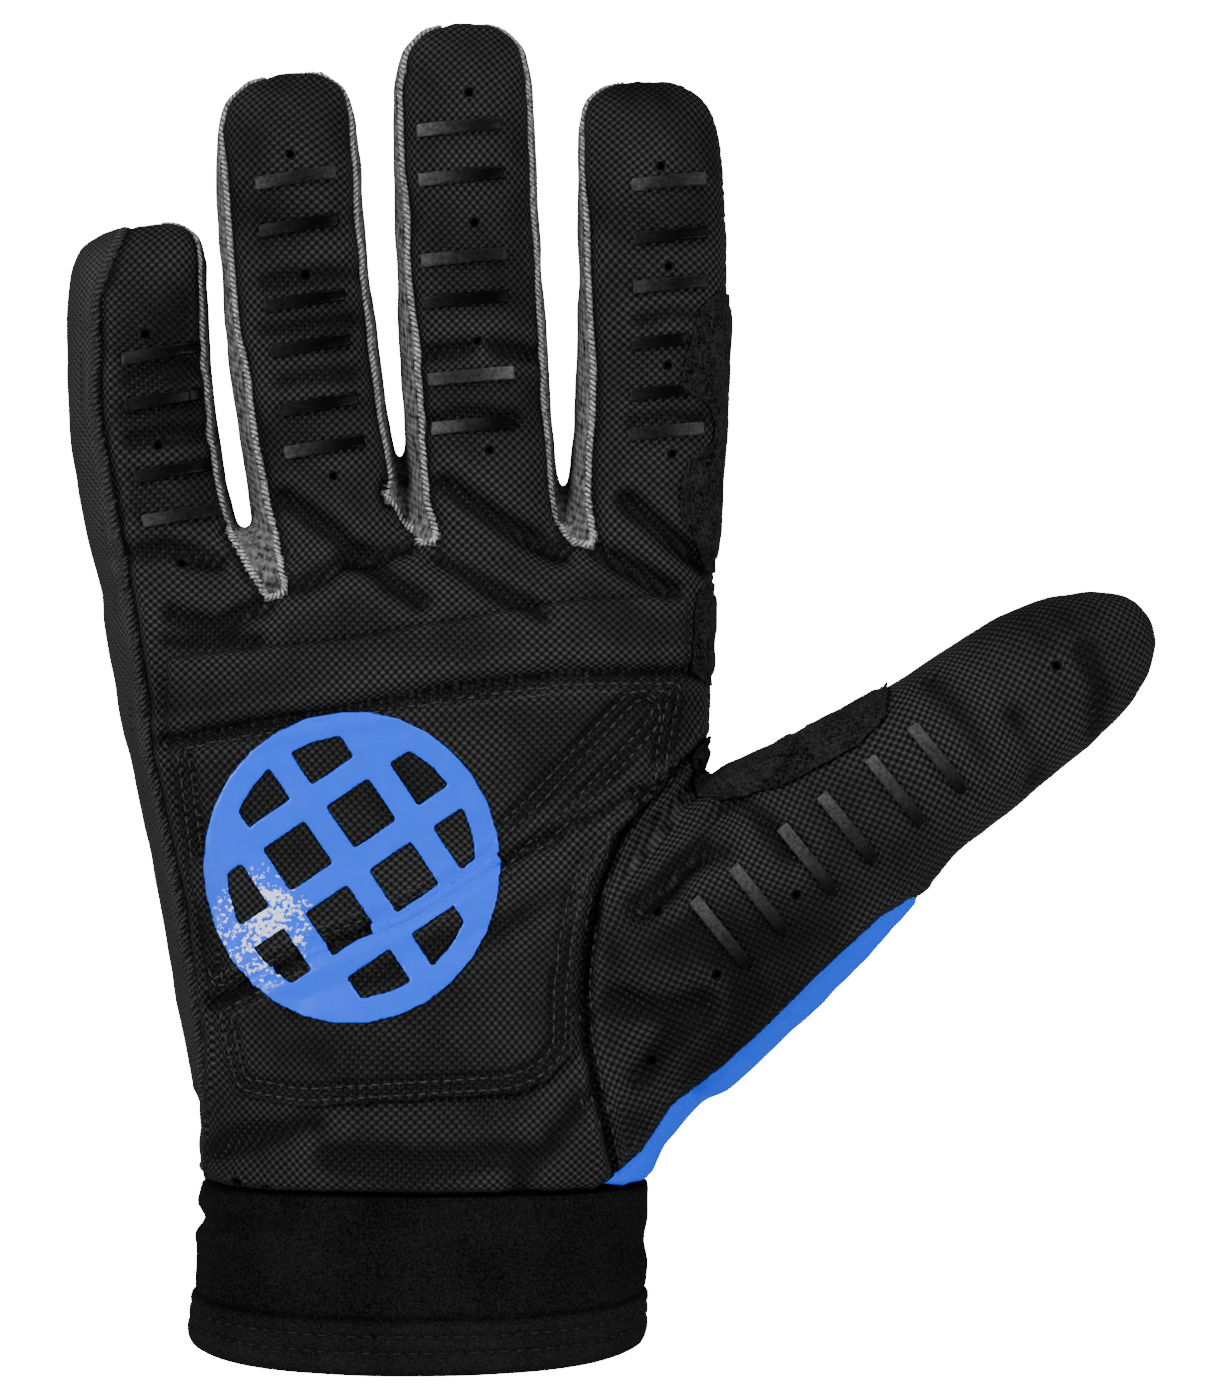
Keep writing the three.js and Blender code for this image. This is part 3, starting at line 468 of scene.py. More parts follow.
# %% Pressing the holes in
VENT_DEPTH = 1.1
WALL = 0.09  # how far the pit's wall leans, in millimetres
for x, z in VENTS:
    away = np.hypot(flat[:, 0] - x, flat[:, 1] - z)
    close = (away < 2.0) & outside & (normals[:, 1] < -0.3)
    depths[close] += VENT_DEPTH / (1 + np.exp((away[close] - VENT_RADIUS) / WALL))
    depths[close] -= 0.12 * np.exp(-(((away[close] - 1.1) / 0.3) ** 2))
co = co - normals * (depths * side * MM)[:, None]
skin.vertices.foreach_set("co", co.ravel())
skin.update()
skin_tree = mesh_tree(skin)
print("dents reach", round(float(depths.max()), 2), "mm")

# %% [markdown]
# ## Wear and painted light and shade
# What stands out gets a painted highlight and is rubbed grey, and what lies deep in a fold or beside
# a seam gets painted shade. The amount for each point is worked out from the same dents, with some
# random tone, and stored on it, for the materials to read. A short table adds places painted
# lighter or darker than the relief alone would make them.

# %% Storing the wear and the painted light and shade
# A place and its reach in millimetres, and how much lighter it is painted, below 0 for darker
WearAndLightSpot = namedtuple("WearAndLightSpot", "x z reach more")
WEAR_AND_LIGHT_SPOTS = [
    WearAndLightSpot(48, 84, 9, 0.35),
    WearAndLightSpot(52, 60, 15, -0.4),
    WearAndLightSpot(40, 64, 9, -0.4),
    WearAndLightSpot(-43, 160, 16, -0.25),
    WearAndLightSpot(10, 172, 14, -0.2),
    WearAndLightSpot(42, 168, 18, 0.2),
    WearAndLightSpot(10, 206, 12, 0.25),
    WearAndLightSpot(0, 45, 22, -0.15),
    WearAndLightSpot(92, 102, 16, 0.35),
]


def store_wear_and_shade(mesh, heights):
    """Stores wear and painted light and shade, from 0 to 1, as an attribute on the points."""
    co = coordinates(mesh) / MM
    wear = 0.42 + 1.1 * heights + 0.28 * bumpy(co, 24.0, 8)
    for spot in WEAR_AND_LIGHT_SPOTS:
        away = np.hypot(co[:, 0] - spot.x, co[:, 2] - spot.z)
        wear += spot.more * np.exp(-((away / spot.reach) ** 2))
    wear = np.clip(wear, 0, 1)
    attribute = mesh.attributes.new("wear", "FLOAT", "POINT")
    attribute.data.foreach_set("value", wear)


# Painted shade: the leather is darkened beside each seam.
seam_shade = np.exp(-((to_seam / 1.1) ** 2))
store_wear_and_shade(skin, -depths - 0.6 * seam_shade)
skin_depths = depths
print("wear is stored, with", len(WEAR_AND_LIGHT_SPOTS), "places of its own")

# %% [markdown]
# ## Pieces from the skin
# Every panel is now cut out of the skin as an object of its own, which stands for its CAD node.
# The embossed lattice of the leather has to follow the cloth round the fingers. Its place on the
# cloth is therefore stored on the points: seen from the front, cloth that turns away from us is
# longer than it looks, by the arc of the bend less its sine.

# %% Cutting the panels out
pieces = {}
Lattice = namedtuple("Lattice", "turn seed")  # degrees, and the number that its waves start from
PALM_LATTICE = Lattice(-1.0, 11)
THUMB_LATTICE = Lattice(18.0, 11)
SLOT_OF = {
    "palm_panel": "mesh_leather",
    "thumb_panel": "mesh_leather",
    "back_panel": "stretch_blue",
    "outer_side_panel": "stretch_black",
    "gusset_pinky_ring": "rib_knit",
    "gusset_ring_middle": "rib_knit",
    "gusset_middle_index": "rib_knit",
}


def add_piece(name, mesh, nodes, slot):
    """Puts a mesh in the scene as a piece that stands for some CAD nodes."""
    obj = bpy.data.objects.new(name, mesh)
    bpy.context.scene.collection.objects.link(obj)
    mesh.shade_smooth()
    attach(obj, "root")
    if nodes:
        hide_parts(*nodes)
    pieces[name] = (obj, slot)
    return obj


def cloth_places(mesh, lattice):
    """Stores each point's place on the cloth, in millimetres, as the attribute cloth."""
    co = coordinates(mesh) / MM
    normal = point_normals(mesh)
    across = normal[:, [0, 2]]
    lean = np.hypot(across[:, 0], across[:, 1])
    bend = np.arctan2(lean, -normal[:, 1])
    radius = np.interp(co[:, 2], [112.0, 136.0], [11.0, 7.0])
    extra = radius * (bend - np.sin(bend)) / np.maximum(lean, 0.05)
    place = co[:, [0, 2]] + across * extra[:, None]
    place[:, 0] += 0.9 * bumpy(co, 38.0, lattice.seed)
    place[:, 1] += 0.9 * bumpy(co, 34.0, lattice.seed + 1)
    turn = math.radians(lattice.turn)
    turned = np.zeros((len(co), 3))
    turned[:, 0] = place[:, 0] * math.cos(turn) + place[:, 1] * math.sin(turn)
    turned[:, 1] = place[:, 1] * math.cos(turn) - place[:, 0] * math.sin(turn)
    attribute = mesh.attributes.new("cloth", "FLOAT_VECTOR", "POINT")
    attribute.data.foreach_set("vector", turned.ravel())


def cut_out(panel):
    """The part of the skin that belongs to one panel."""
    bm = bmesh.new()
    bm.from_mesh(skin)
    bm.faces.ensure_lookup_table()
    others = [bm.faces[i] for i in np.nonzero(panel_of != panel)[0]]
    bmesh.ops.delete(bm, geom=others, context="FACES")
    return mesh_of(bm, CLOTH[panel] + "_cloth")


for number, node in enumerate(CLOTH):
    mesh = cut_out(number)
    cloth_places(mesh, THUMB_LATTICE if node == "thumb_panel" else PALM_LATTICE)
    cloth = add_piece(node + "_cloth", mesh, [node], SLOT_OF[node])
    print(cloth.name, len(cloth.data.polygons), "faces")

# %% [markdown]
# ## Layers on top
# Pad, patches, print and grip bars are solids of their own, laid on the faceted form. Each is
# remeshed finely, and then moved in or out by as much as the smooth skin differs from that form
# under it, so that it lies on the cloth whatever the folds do.

# %% Laying a solid on the skin
form_tree = cad_tree(*CLOTH)


def laid(node, voxel, smoothing, sink, below=(form_tree, skin_tree)):
    """A CAD node's solid, fine and rounded, lowered on to what is below and sink deeper."""
    form, cloth = below
    mesh = remeshed(cad_bmesh([node]), voxel * FINE, smoothing)
    co = coordinates(mesh)
    for i, row in enumerate(co):
        point = Vector(row)
        on_form, _, _, form_far = form.find_nearest(point)
        on_skin, normal, _, _ = cloth.find_nearest(point)
        way = (point - on_form).normalized()
        lift = (point - on_skin).dot(normal)
        co[i] = point - way * (lift - form_far + sink)
    mesh.vertices.foreach_set("co", co.ravel())
    mesh.update()
    return mesh


# %% [markdown]
# ## Stitch lines on the layers
# Topstitching runs beside the edge of each layer. The edge is read from the CAD solid: it is
# where a face that lies along the glove meets one that doesn't. Lines beside it are that edge,
# moved inwards along the surface.

# %% Edges and the lines beside them
def chains(edges):
    """Joins pairs of points into runs, as lists of point numbers, longest first."""
    beside = {}
    for a, b in edges:
        beside.setdefault(a, set()).add(b)
        beside.setdefault(b, set()).add(a)
    runs = []
    while beside:
        ends = [index for index, others in beside.items() if len(others) == 1]
        here = ends[0] if ends else next(iter(beside))
        run = [here]
        while beside.get(here):
            after = beside[here].pop()
            beside[after].discard(here)
            here = after
            run.append(here)
        beside = {index: others for index, others in beside.items() if others}
        runs.append(run)
    return sorted(runs, key=len, reverse=True)


def even_points(points, step):
    """The same line with points at an even step."""
    points = np.array(points)
    gaps = np.linalg.norm(np.diff(points, axis=0), axis=1)
    run = np.concatenate([[0.0], np.cumsum(gaps)])
    count = max(int(run[-1] / step), 2)
    wanted = np.linspace(0.0, run[-1], count + 1)
    return np.stack([np.interp(wanted, run, points[:, axis]) for axis in range(3)], axis=1)


def eased(points, times, closed=False):
    """A line of points with its small kinks taken out."""
    points = np.array(points)
    for _ in range(times):
        before = np.roll(points, 1, axis=0)
        after = np.roll(points, -1, axis=0)
        mild = 0.5 * points + 0.25 * (before + after)
        if not closed:
            mild[0], mild[-1] = points[0], points[-1]
        points = mild
    return points


def rim_of(node):
    """The outer edge of a layer's upper side, as a closed line of points."""
    bm = cad_bmesh([node])
    bm.normal_update()
    upper = set()
    for face in bm.faces:
        middle = face.calc_center_median()
        on_form, normal, _, _ = form_tree.find_nearest(middle)
        if face.normal.dot((middle - on_form).normalized()) > 0.6 and face.normal.dot(normal) > 0.5:
            upper.add(face.index)
    edges = []
    for edge in bm.edges:
        if sum(face.index in upper for face in edge.link_faces) == 1:
            edges.append((edge.verts[0].index, edge.verts[1].index))
    places = np.array([vert.co for vert in bm.verts])
    run = chains(edges)[0]
    bm.free()
    return places[run]


def beside_rim(node, inset):
    """A closed line on the glove, inset from a layer's edge."""
    line = eased(even_points(rim_of(node), 0.8 * MM)[:-1], 6, closed=True)
    middle = line.mean(axis=0)
    moved = []
    for i, point in enumerate(line):
        tangent = Vector(line[(i + 2) % len(line)] - line[i - 2]).normalized()
        normal = skin_tree.find_nearest(Vector(point))[1]
        moved.append((Vector(point), tangent.cross(normal).normalized()))
    inwards = sum(way.dot(Vector(middle) - place) for place, way in moved)
    sign = 1.0 if inwards > 0 else -1.0
    line = [place + way * inset * sign for place, way in moved]
    return eased(np.array(line), 8, closed=True)


STITCHED = {  # each layer's topstitching: how far in from its edge, in millimetres
    "palm_pad": (1.2, 3.2),
    "index_side_patch": (1.4,),
    "index_knuckle_patch": (1.2,),
    "thumb_crotch_patch": (1.4,),
}
topstitch = {
    node: [beside_rim(node, inset * MM) for inset in insets] for node, insets in STITCHED.items()
}
print("topstitch lines:", {node: [len(line) for line in lines] for node, lines in topstitch.items()})

# %% [markdown]
# ## The layers and their stitch lines
# Thread pulls a layer down along its line, and the padding swells up between the lines. The layer
# is dented near the line and lifted away from it. The dents get painted shade, and so do the
# layer's places over the skin's folds and seams below.

# %% Pressing the stitch lines in
def press(mesh, lines, depth, width):
    """Dents a layer along lines, and puffs it up between them."""
    co = coordinates(mesh)
    ups = point_normals(mesh)
    points = np.concatenate(lines)
    tree = KDTree(len(points))
    for i, point in enumerate(points):
        tree.insert(point, i)
    tree.balance()
    away = np.array([tree.find(point)[2] for point in co]) / MM
    away = np.maximum(away - 0.5, 0)
    dips = depth * np.exp(-((away / width) ** 2))
    puffs = 0.45 * depth * np.clip(away / 4, 0, 1) + 0.1 * bumpy(co / MM, 7.0, 5)
    below = [skin_tree.find_nearest(Vector(point)) for point in co]
    outer = np.array([normal.dot(Vector(up)) for (_, normal, _, _), up in zip(below, ups)])
    co -= ups * ((dips - puffs) * np.clip(outer, 0, 1) * MM)[:, None]
    mesh.vertices.foreach_set("co", co.ravel())
    mesh.update()
    deep = [skin_depths[skin.polygons[face].vertices[0]] for _, _, face, _ in below]
    # Painted shade: the stitch dents and the folds below are stored as darker.
    store_wear_and_shade(mesh, -dips - np.array(deep))


Layer = namedtuple("Layer", "slot voxel smoothing sink")  # voxel and sink in millimetres
LAYERS = {
    "palm_pad": Layer("mesh_leather", 0.5, 5, 0.3),
    "index_side_patch": Layer("suede", 0.4, 5, 0.85),
    "index_knuckle_patch": Layer("suede", 0.4, 5, 0.85),
    "thumb_crotch_patch": Layer("suede", 0.4, 5, 0.6),
}
for node, layer in LAYERS.items():
    mesh = laid(node, layer.voxel * MM, layer.smoothing, layer.sink * MM)
    press(mesh, topstitch[node], depth=0.42, width=0.6)
    cloth_places(mesh, PALM_LATTICE)
    add_piece(node + "_layer", mesh, [node], layer.slot)
    print(node, "layer:", len(mesh.polygons), "faces")

# %% [markdown]
# ## Print and grip bars
# Both are rubber, printed on the leather in a thick coat: the print on the pad, the bars on the
# fingers and the thumb. They are laid on like the other layers, but with finer squares, because
# their edges are crisp and catch the light. First comes the print, on the pad that is now there.

# %% Rubber on the leather
pad_mesh = pieces["palm_pad_layer"][0].data
on_pad = (cad_tree("palm_pad"), mesh_tree(pad_mesh))
print_mesh = laid("palm_print", 0.3 * MM, 4, 0.35 * MM, below=on_pad)
add_piece("palm_print_rubber", print_mesh, ["palm_print"], "print_rubber")
print("the print has", len(print_mesh.polygons), "faces")

# %% [markdown]
# ## The bars' painted reflections
# A bar's colour has a painted reflection of the light, dull grey mostly at its left end, and stays
# glossy black towards the other. The grey is stored along each bar, so that one material serves for all.
# A material for each bar would do the same with thirty times the nodes.

# %% Bars with painted reflections
# How grey the painted reflection is at each end, 1 the most, and how soon that fades towards the other
# end
PaintedReflection = namedtuple("PaintedReflection", "left right fade", defaults=[2.6])
PAINTED_REFLECTIONS = {
    "bar_pinky_1": PaintedReflection(0.25, 0.0),
    "bar_pinky_4": PaintedReflection(0.5, 0.1),
    "bar_ring_1": PaintedReflection(0.5, 0.3),
    "bar_ring_2": PaintedReflection(0.2, 0.0),
    "bar_ring_6": PaintedReflection(0.5, 0.0),
    "bar_middle_1": PaintedReflection(0.9, 0.1),
    "bar_middle_2": PaintedReflection(0.7, 0.0),
    "bar_middle_3": PaintedReflection(0.6, 0.15),
    "bar_middle_5": PaintedReflection(0.5, 1.0),
    "bar_middle_6": PaintedReflection(0.7, 0.0),
    "bar_index_1": PaintedReflection(0.55, 0.35),
    "bar_index_3": PaintedReflection(0.35, 0.1),
    "bar_index_6": PaintedReflection(0.2, 0.5),
}
THUMB_REFLECTION = PaintedReflection(0.62, 0.0, 1.2)
USUAL_REFLECTION = PaintedReflection(0.12, 0.0)


def store_painted_reflection(mesh, scuff):
    """Stores how grey a bar's painted reflection is along its length, as an attribute on the points."""
    co = coordinates(mesh)[:, [0, 2]]
    co -= co.mean(axis=0)
    way = np.linalg.svd(co, full_matrices=False)[2][0]
    along = co @ (way * np.sign(way[0]))
    share = (along - along.min()) / (along.max() - along.min())
    amount = scuff.left * (1 - share) ** scuff.fade + scuff.right * share**scuff.fade
    mesh.attributes.new("scuff", "FLOAT", "POINT").data.foreach_set("value", amount)


bar_nodes = [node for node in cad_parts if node.startswith("bar_")]
for node in bar_nodes:
    mesh = laid(node, 0.26 * MM, 2, 0.3 * MM)
    usual = THUMB_REFLECTION if "thumb" in node else USUAL_REFLECTION
    store_painted_reflection(mesh, PAINTED_REFLECTIONS.get(node, usual))
    add_piece(node + "_rubber", mesh, [node], "grip_rubber")
print("there are", len(bar_nodes), "bars")

# %% [markdown]
# ## Cuff and hem
# The cuff is a band of neoprene, cut straight and closed into a ring, with its lower edge folded
# over and stitched down. A ring of points is drawn up along the band's section, each ring as wide
# as the CAD band is there. Remeshing would do too, but a band of rings keeps its edges.

# %% Rings as wide as the CAD band
AROUND = 180
DIP = -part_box("cuff_hem")[0][2]  # how far the palm side hangs below the origin
CUFF_TOP = 26 * MM  # where the glove's lower edge lies
HALF_DEPTH = 27 * MM  # from the middle of the cuff to its front
band_tree = cad_tree("cuff", "cuff_hem")


def band_radius(z):
    """The band's outer radius at a height, for AROUND even angles, smoothed a little."""
    found = []
    for step in range(AROUND):
        angle = 2 * math.pi * step / AROUND
        way = Vector((math.cos(angle), math.sin(angle), 0.0))
        hit = band_tree.ray_cast(way * 0.1 + Vector((0, 0, z)), -way)[0]
        found.append(math.hypot(hit.x, hit.y))
    for _ in range(14):
        found = [(found[i - 1] + 2 * r + found[(i + 1) % AROUND]) / 4 for i, r in enumerate(found)]
    return np.array(found)


LOW, HIGH = 9 * MM, 24 * MM
low_radius, high_radius = band_radius(LOW), band_radius(HIGH)
print("the band is", round(2000 * low_radius.mean(), 1), "mm wide on average")

# %% Rings drawn up along a section
Crease = namedtuple("Crease", "depth width line")  # millimetres; the line's points: degrees, height
CREASES = [
    Crease(1.0, 1.5, [(150, 18.0), (185, 20.0), (222, 20.6)]),
    Crease(0.35, 2.4, [(226, 21.0), (262, 19.6), (285, 17.0)]),
    Crease(0.4, 2.2, [(318, 22.5), (345, 17.0), (372, 15.0)]),
    Crease(0.3, 2.6, [(250, 12.0), (285, 13.5), (325, 12.0)]),
    Crease(0.45, 2.0, [(60, 17.0), (95, 19.0), (128, 17.0)]),
    Crease(0.35, 2.2, [(20, 21.0), (45, 19.0), (75, 20.5)]),
]
ARC = 0.58  # millimetres along the band for each degree


def crease_dip(degrees, height):
    """How deep the band's creases are at some angles and heights, in millimetres."""
    total = np.zeros(len(degrees))
    for crease in CREASES:
        line = [(angle * ARC, z) for angle, z in crease.line]
        for lap in (0, 360):
            points = np.stack([(degrees + lap) * ARC, height], axis=1)
            away = line_distance(points, line) / crease.width
            total += crease.depth * (np.exp(-(away**2)) - 0.5 * np.exp(-((away - 1.8) ** 2)))
    return total


def band_ring(ring, inset, z):
    """Moves a ring of points to a height on the band, inset from its outer face."""
    angles = np.array([math.atan2(vert.co.y, vert.co.x) for vert in ring])
    steps = (angles / (2 * math.pi) * AROUND) % AROUND
    mixed = low_radius + (high_radius - low_radius) * (z - LOW) / (HIGH - LOW)
    wide = np.interp(steps, np.arange(AROUND + 1), np.append(mixed, mixed[0])) - inset
    level = np.full(len(ring), z / MM)
    place = np.stack([wide * np.cos(angles) / MM, wide * np.sin(angles) / MM, level], axis=1)
    wide -= MM * (crease_dip(np.degrees(angles) % 360, level) + 0.16 * bumpy(place, 13.0, 8))
    x, y = wide * np.cos(angles), wide * np.sin(angles)
    dip = DIP * np.clip(-y / HALF_DEPTH, 0, 1) * (1 - min(max(z / CUFF_TOP, 0.0), 1.0))
    for i, vert in enumerate(ring):
        vert.co = (x[i], y[i], z - dip[i])


def drawn_band(name, section):
    """A ring of points drawn along a section of (inset, height) in mm, with painted light on its bulges
    and painted shade in its dips.
    """
    bm = bmesh.new()
    ring = bmesh.ops.create_circle(bm, segments=AROUND, radius=0.04)["verts"]
    edges = list(dict.fromkeys(edge for vert in ring for edge in vert.link_edges))
    first = edges
    band_ring(ring, section[0][0] * MM, section[0][1] * MM)
    for inset, height in section[1:]:
        grown = bmesh.ops.extrude_edge_only(bm, edges=edges)["geom"]
        ring = [item for item in grown if isinstance(item, bmesh.types.BMVert)]
        inside = set(ring)
        edges = [item for item in grown if isinstance(item, bmesh.types.BMEdge)]
        edges = [edge for edge in edges if edge.verts[0] in inside and edge.verts[1] in inside]
        band_ring(ring, inset * MM, height * MM)
    bmesh.ops.bridge_loops(bm, edges=first + edges)
    bmesh.ops.recalc_face_normals(bm, faces=bm.faces)
    mesh = mesh_of(bm, name)
    # Painted light and shade: what bulges out is painted lighter, and what is drawn in darker.
    wear = [min(max(0.33 - 0.3 * inset, 0.0), 1.0) for inset, _ in section]
    mesh.attributes.new("wear", "FLOAT", "POINT").data.foreach_set("value", np.repeat(wear, AROUND))
    return mesh


HEM_TOP = 8.0  # the cuff is drawn in there, under the hem's upper edge
heights = [2.0, 4.4, 6.8, 7.4, 7.8, 8.1, 8.4, 8.8, *np.arange(9.4, 25.4, 0.8)]
walls = [(0.5 * math.exp(-(((z - HEM_TOP) / 0.5) ** 2)), float(z)) for z in heights]
inner = [(3.0, float(height)) for height in np.arange(30.5, 1.5, -2.4)]
cuff_section = walls + [(0.2, 25.65), (1.9, 25.75), (2.3, 26.4), (2.3, 30.2), (2.6, 30.8)] + inner
add_piece("cuff_cloth", drawn_band("cuff_cloth", cuff_section), ["cuff"], "neoprene")
print("the cuff has", len(pieces["cuff_cloth"][0].data.polygons), "faces")

# %% [markdown]
# ## The folded edge
# The hem is the same ring drawn along another section: up the outside with two dips where the
# stitch rows pull it in, over the rounded top edge, and down the inside. Rounding a plain band
# with a bevel would leave the dips out, and they are what makes it look sewn.

# %% The folded edge
HEM_SECTION = [
    (0.3, 7.9), (-0.15, 7.55), (-0.5, 7.1), (-0.62, 6.5), (-0.45, 5.95), (-0.28, 5.7), (-0.45, 5.4),
    (-0.7, 4.8), (-0.72, 4.1), (-0.5, 3.6), (-0.32, 3.35), (-0.5, 3.1), (-0.78, 2.5), (-0.85, 1.7),
    (-0.7, 0.9), (-0.35, 0.3), (0.3, -0.05), (1.2, -0.15), (2.2, -0.1), (3.0, 0.2), (3.5, 0.8),
    (3.75, 1.8), (3.8, 4.0), (3.75, 6.4), (3.4, 7.3), (2.9, 7.6),
]  # fmt: skip
add_piece("cuff_hem_cloth", drawn_band("cuff_hem_cloth", HEM_SECTION), ["cuff_hem"], "neoprene")
print("the hem has", len(pieces["cuff_hem_cloth"][0].data.polygons), "faces")

# %% [markdown]
# ## Thread
# Every stitch is a small sausage of thread that lies on the cloth: along the line for
# topstitching, across it for the overcast edges. Curves would look the same, but one small
# sphere, stretched and copied along a line hundreds of times, is one mesh and quick to draw.

# %% Stitches along a line
round_body = bmesh.new()
bmesh.ops.create_uvsphere(round_body, u_segments=6, v_segments=5, radius=1.0)
one_stitch = mesh_of(round_body, "one_stitch")


def add_stitch(bm, place, way, normal, length, thick):
    """Adds one stitch to a bmesh, a small round body stretched along the thread."""
    side_way = normal.cross(way).normalized()
    way = side_way.cross(normal).normalized()
    turn = Matrix((way, side_way, normal)).transposed().to_4x4()
    size = Matrix.Diagonal((length / 2, thick / 2, thick / 2.4, 1))
    copy = one_stitch.copy()
    copy.transform(Matrix.Translation(place) @ turn @ size)
    bm.from_mesh(copy)
    bpy.data.meshes.remove(copy)


def sewn(bm, line, pitch, length, thick, slant=0.0, aside=0.0, tree=skin_tree, lift=0.05):
    """Stitches along a line of points; slant in degrees from it, aside to its left in metres."""
    points = even_points(line, pitch)
    for i in range(1, len(points) - 1):
        along = Vector(points[i + 1] - points[i - 1]).normalized()
        place, normal, _, far = tree.find_nearest(Vector(points[i]))
        if far > 1.5 * MM:
            continue
        left = normal.cross(along).normalized()
        place, normal, _, _ = tree.find_nearest(place + left * aside)
        way = Matrix.Rotation(math.radians(slant), 3, normal) @ along
        add_stitch(bm, place + normal * lift * MM, way, normal, length, thick)


def add_thread(name, bm, slot):
    """Makes a piece of many stitches."""
    mesh = mesh_of(bm, name)
    add_piece(name, mesh, [], slot)
    print(name, len(mesh.polygons) // len(one_stitch.polygons), "stitches,", len(mesh.polygons), "faces")


TOPSTITCH = (2.0 * MM, 1.5 * MM, 0.36 * MM)  # pitch, length and thickness
layer_trees = {node: mesh_tree(pieces[node + "_layer"][0].data) for node in LAYERS}
for name, nodes in {"pad_stitching": ["palm_pad"], "patch_stitching": list(LAYERS)[1:]}.items():
    bm = bmesh.new()
    for node in nodes:
        for line in topstitch[node]:
            closed = np.vstack([line, line[:1]])
            sewn(bm, closed, *TOPSTITCH, tree=layer_trees[node], lift=0.0)
    add_thread(name, bm, "stretch_black")

# %% [markdown]
# ## Overcast edges
# Along each gusset a coarse grey thread is whipped over the edge, in slanting loops close
# together. The seam's own points give the line, and the loops stand at a slant beside it. They
# could be painted on, but loops that stand up break the light as the real ones do.

# %% Overcast gussets
def outside_runs(first, second):
    """The seam between two panels on the glove's outside, as smooth lines of points."""
    pair = tuple(sorted((CLOTH.index(first), CLOTH.index(second))))
    runs = []
    for run in chains([edge for edge in seams.get(pair, []) if outside[list(edge)].all()]):
        if len(run) > 12:
            runs.append(eased(even_points(co[run], 0.5 * MM), 12))
    return runs


def hand_of(line, panel):
    """1 if a panel lies to the left of a line on the glove, or else -1."""
    distance_to = panel_trees[CLOTH.index(panel)].find_nearest
    votes = 0
    for i in range(2, len(line) - 2, 5):
        along = Vector(line[i + 1] - line[i - 1]).normalized()
        place, normal, _, _ = skin_tree.find_nearest(Vector(line[i]))
        left = normal.cross(along).normalized() * 1.6 * MM
        votes += 1 if distance_to(place + left)[3] < distance_to(place - left)[3] else -1
    return 1 if votes > 0 else -1


OVERCAST = (0.86 * MM, 1.7 * MM, 0.56 * MM)  # pitch, length and thickness
OVERCAST_SLANT = 52  # degrees from the seam
OVERCAST_ASIDE = 0.55 * MM
bm = bmesh.new()
for gusset in CLOTH[4:]:
    for panel in ("palm_panel", "back_panel", "outer_side_panel"):
        for line in outside_runs(panel, gusset):
            hand = hand_of(line, gusset)
            sewn(bm, line, *OVERCAST, OVERCAST_SLANT * hand, OVERCAST_ASIDE * hand)
add_thread("gusset_overcasting", bm, "rib_knit")

# %% [markdown]
# ## The dark seams
# The seams of the thumb, the side and the back are sewn with black thread, some with a second and
# a third row beside them. A table with a line for each row says which side it is on and how far.

# %% The dark seams
Row = namedtuple("Row", "panels on aside pitch length thick slant")  # aside to thick in millimetres
ROWS = [
    Row(("palm_panel", "outer_side_panel"), "outer_side_panel", 0.85, 0.95, 1.9, 0.6, 58),
    Row(("palm_panel", "thumb_panel"), "palm_panel", 1.5, 1.9, 1.45, 0.42, 0),
    Row(("palm_panel", "thumb_panel"), "palm_panel", 3.7, 1.9, 1.45, 0.42, 0),
    Row(("palm_panel", "thumb_panel"), "thumb_panel", 1.3, 1.9, 1.4, 0.4, 0),
    Row(("back_panel", "thumb_panel"), "thumb_panel", 1.1, 1.8, 1.4, 0.4, 0),
    Row(("back_panel", "outer_side_panel"), "outer_side_panel", 1.1, 1.8, 1.4, 0.4, 0),
    Row(("back_panel", "palm_panel"), "palm_panel", 1.1, 1.8, 1.4, 0.4, 0),
]
bm = bmesh.new()
for row in ROWS:
    for line in outside_runs(*row.panels):
        hand = hand_of(line, row.on)
        sizes = (row.pitch * MM, row.length * MM, row.thick * MM)
        sewn(bm, line, *sizes, row.slant * hand, row.aside * MM * hand)
add_thread("seam_stitching", bm, "stretch_black")

# %% [markdown]
# ## The hem's rows
# Two rows of stitches hold the hem down. They lie in its two dips, at the same heights as there.

# %% Two rows round the hem
hem_tree = mesh_tree(pieces["cuff_hem_cloth"][0].data)
bm = bmesh.new()
HEMSTITCH = (2.5 * MM, 1.8 * MM, 0.42 * MM)  # pitch, length and thickness
for height in (5.7, 3.35):  # millimetres, where the hem's section dips
    line = []
    for step in range(AROUND + 1):
        angle = 2 * math.pi * step / AROUND
        wide = low_radius[step % AROUND] + 0.4 * MM
        forward = -wide * math.sin(angle)
        dip = DIP * max(0.0, forward / HALF_DEPTH) * (1 - height * MM / CUFF_TOP)
        line.append((wide * math.cos(angle), -forward, height * MM - dip))
    sewn(bm, line, *HEMSTITCH, tree=hem_tree)
add_thread("hem_stitching", bm, "stretch_black")

# %% [markdown]
# ## Materials
# Cloth is told apart by its weave, so each material gets its own small height pattern. Writing
# the shader's maths as Python expressions keeps those patterns short enough to read.

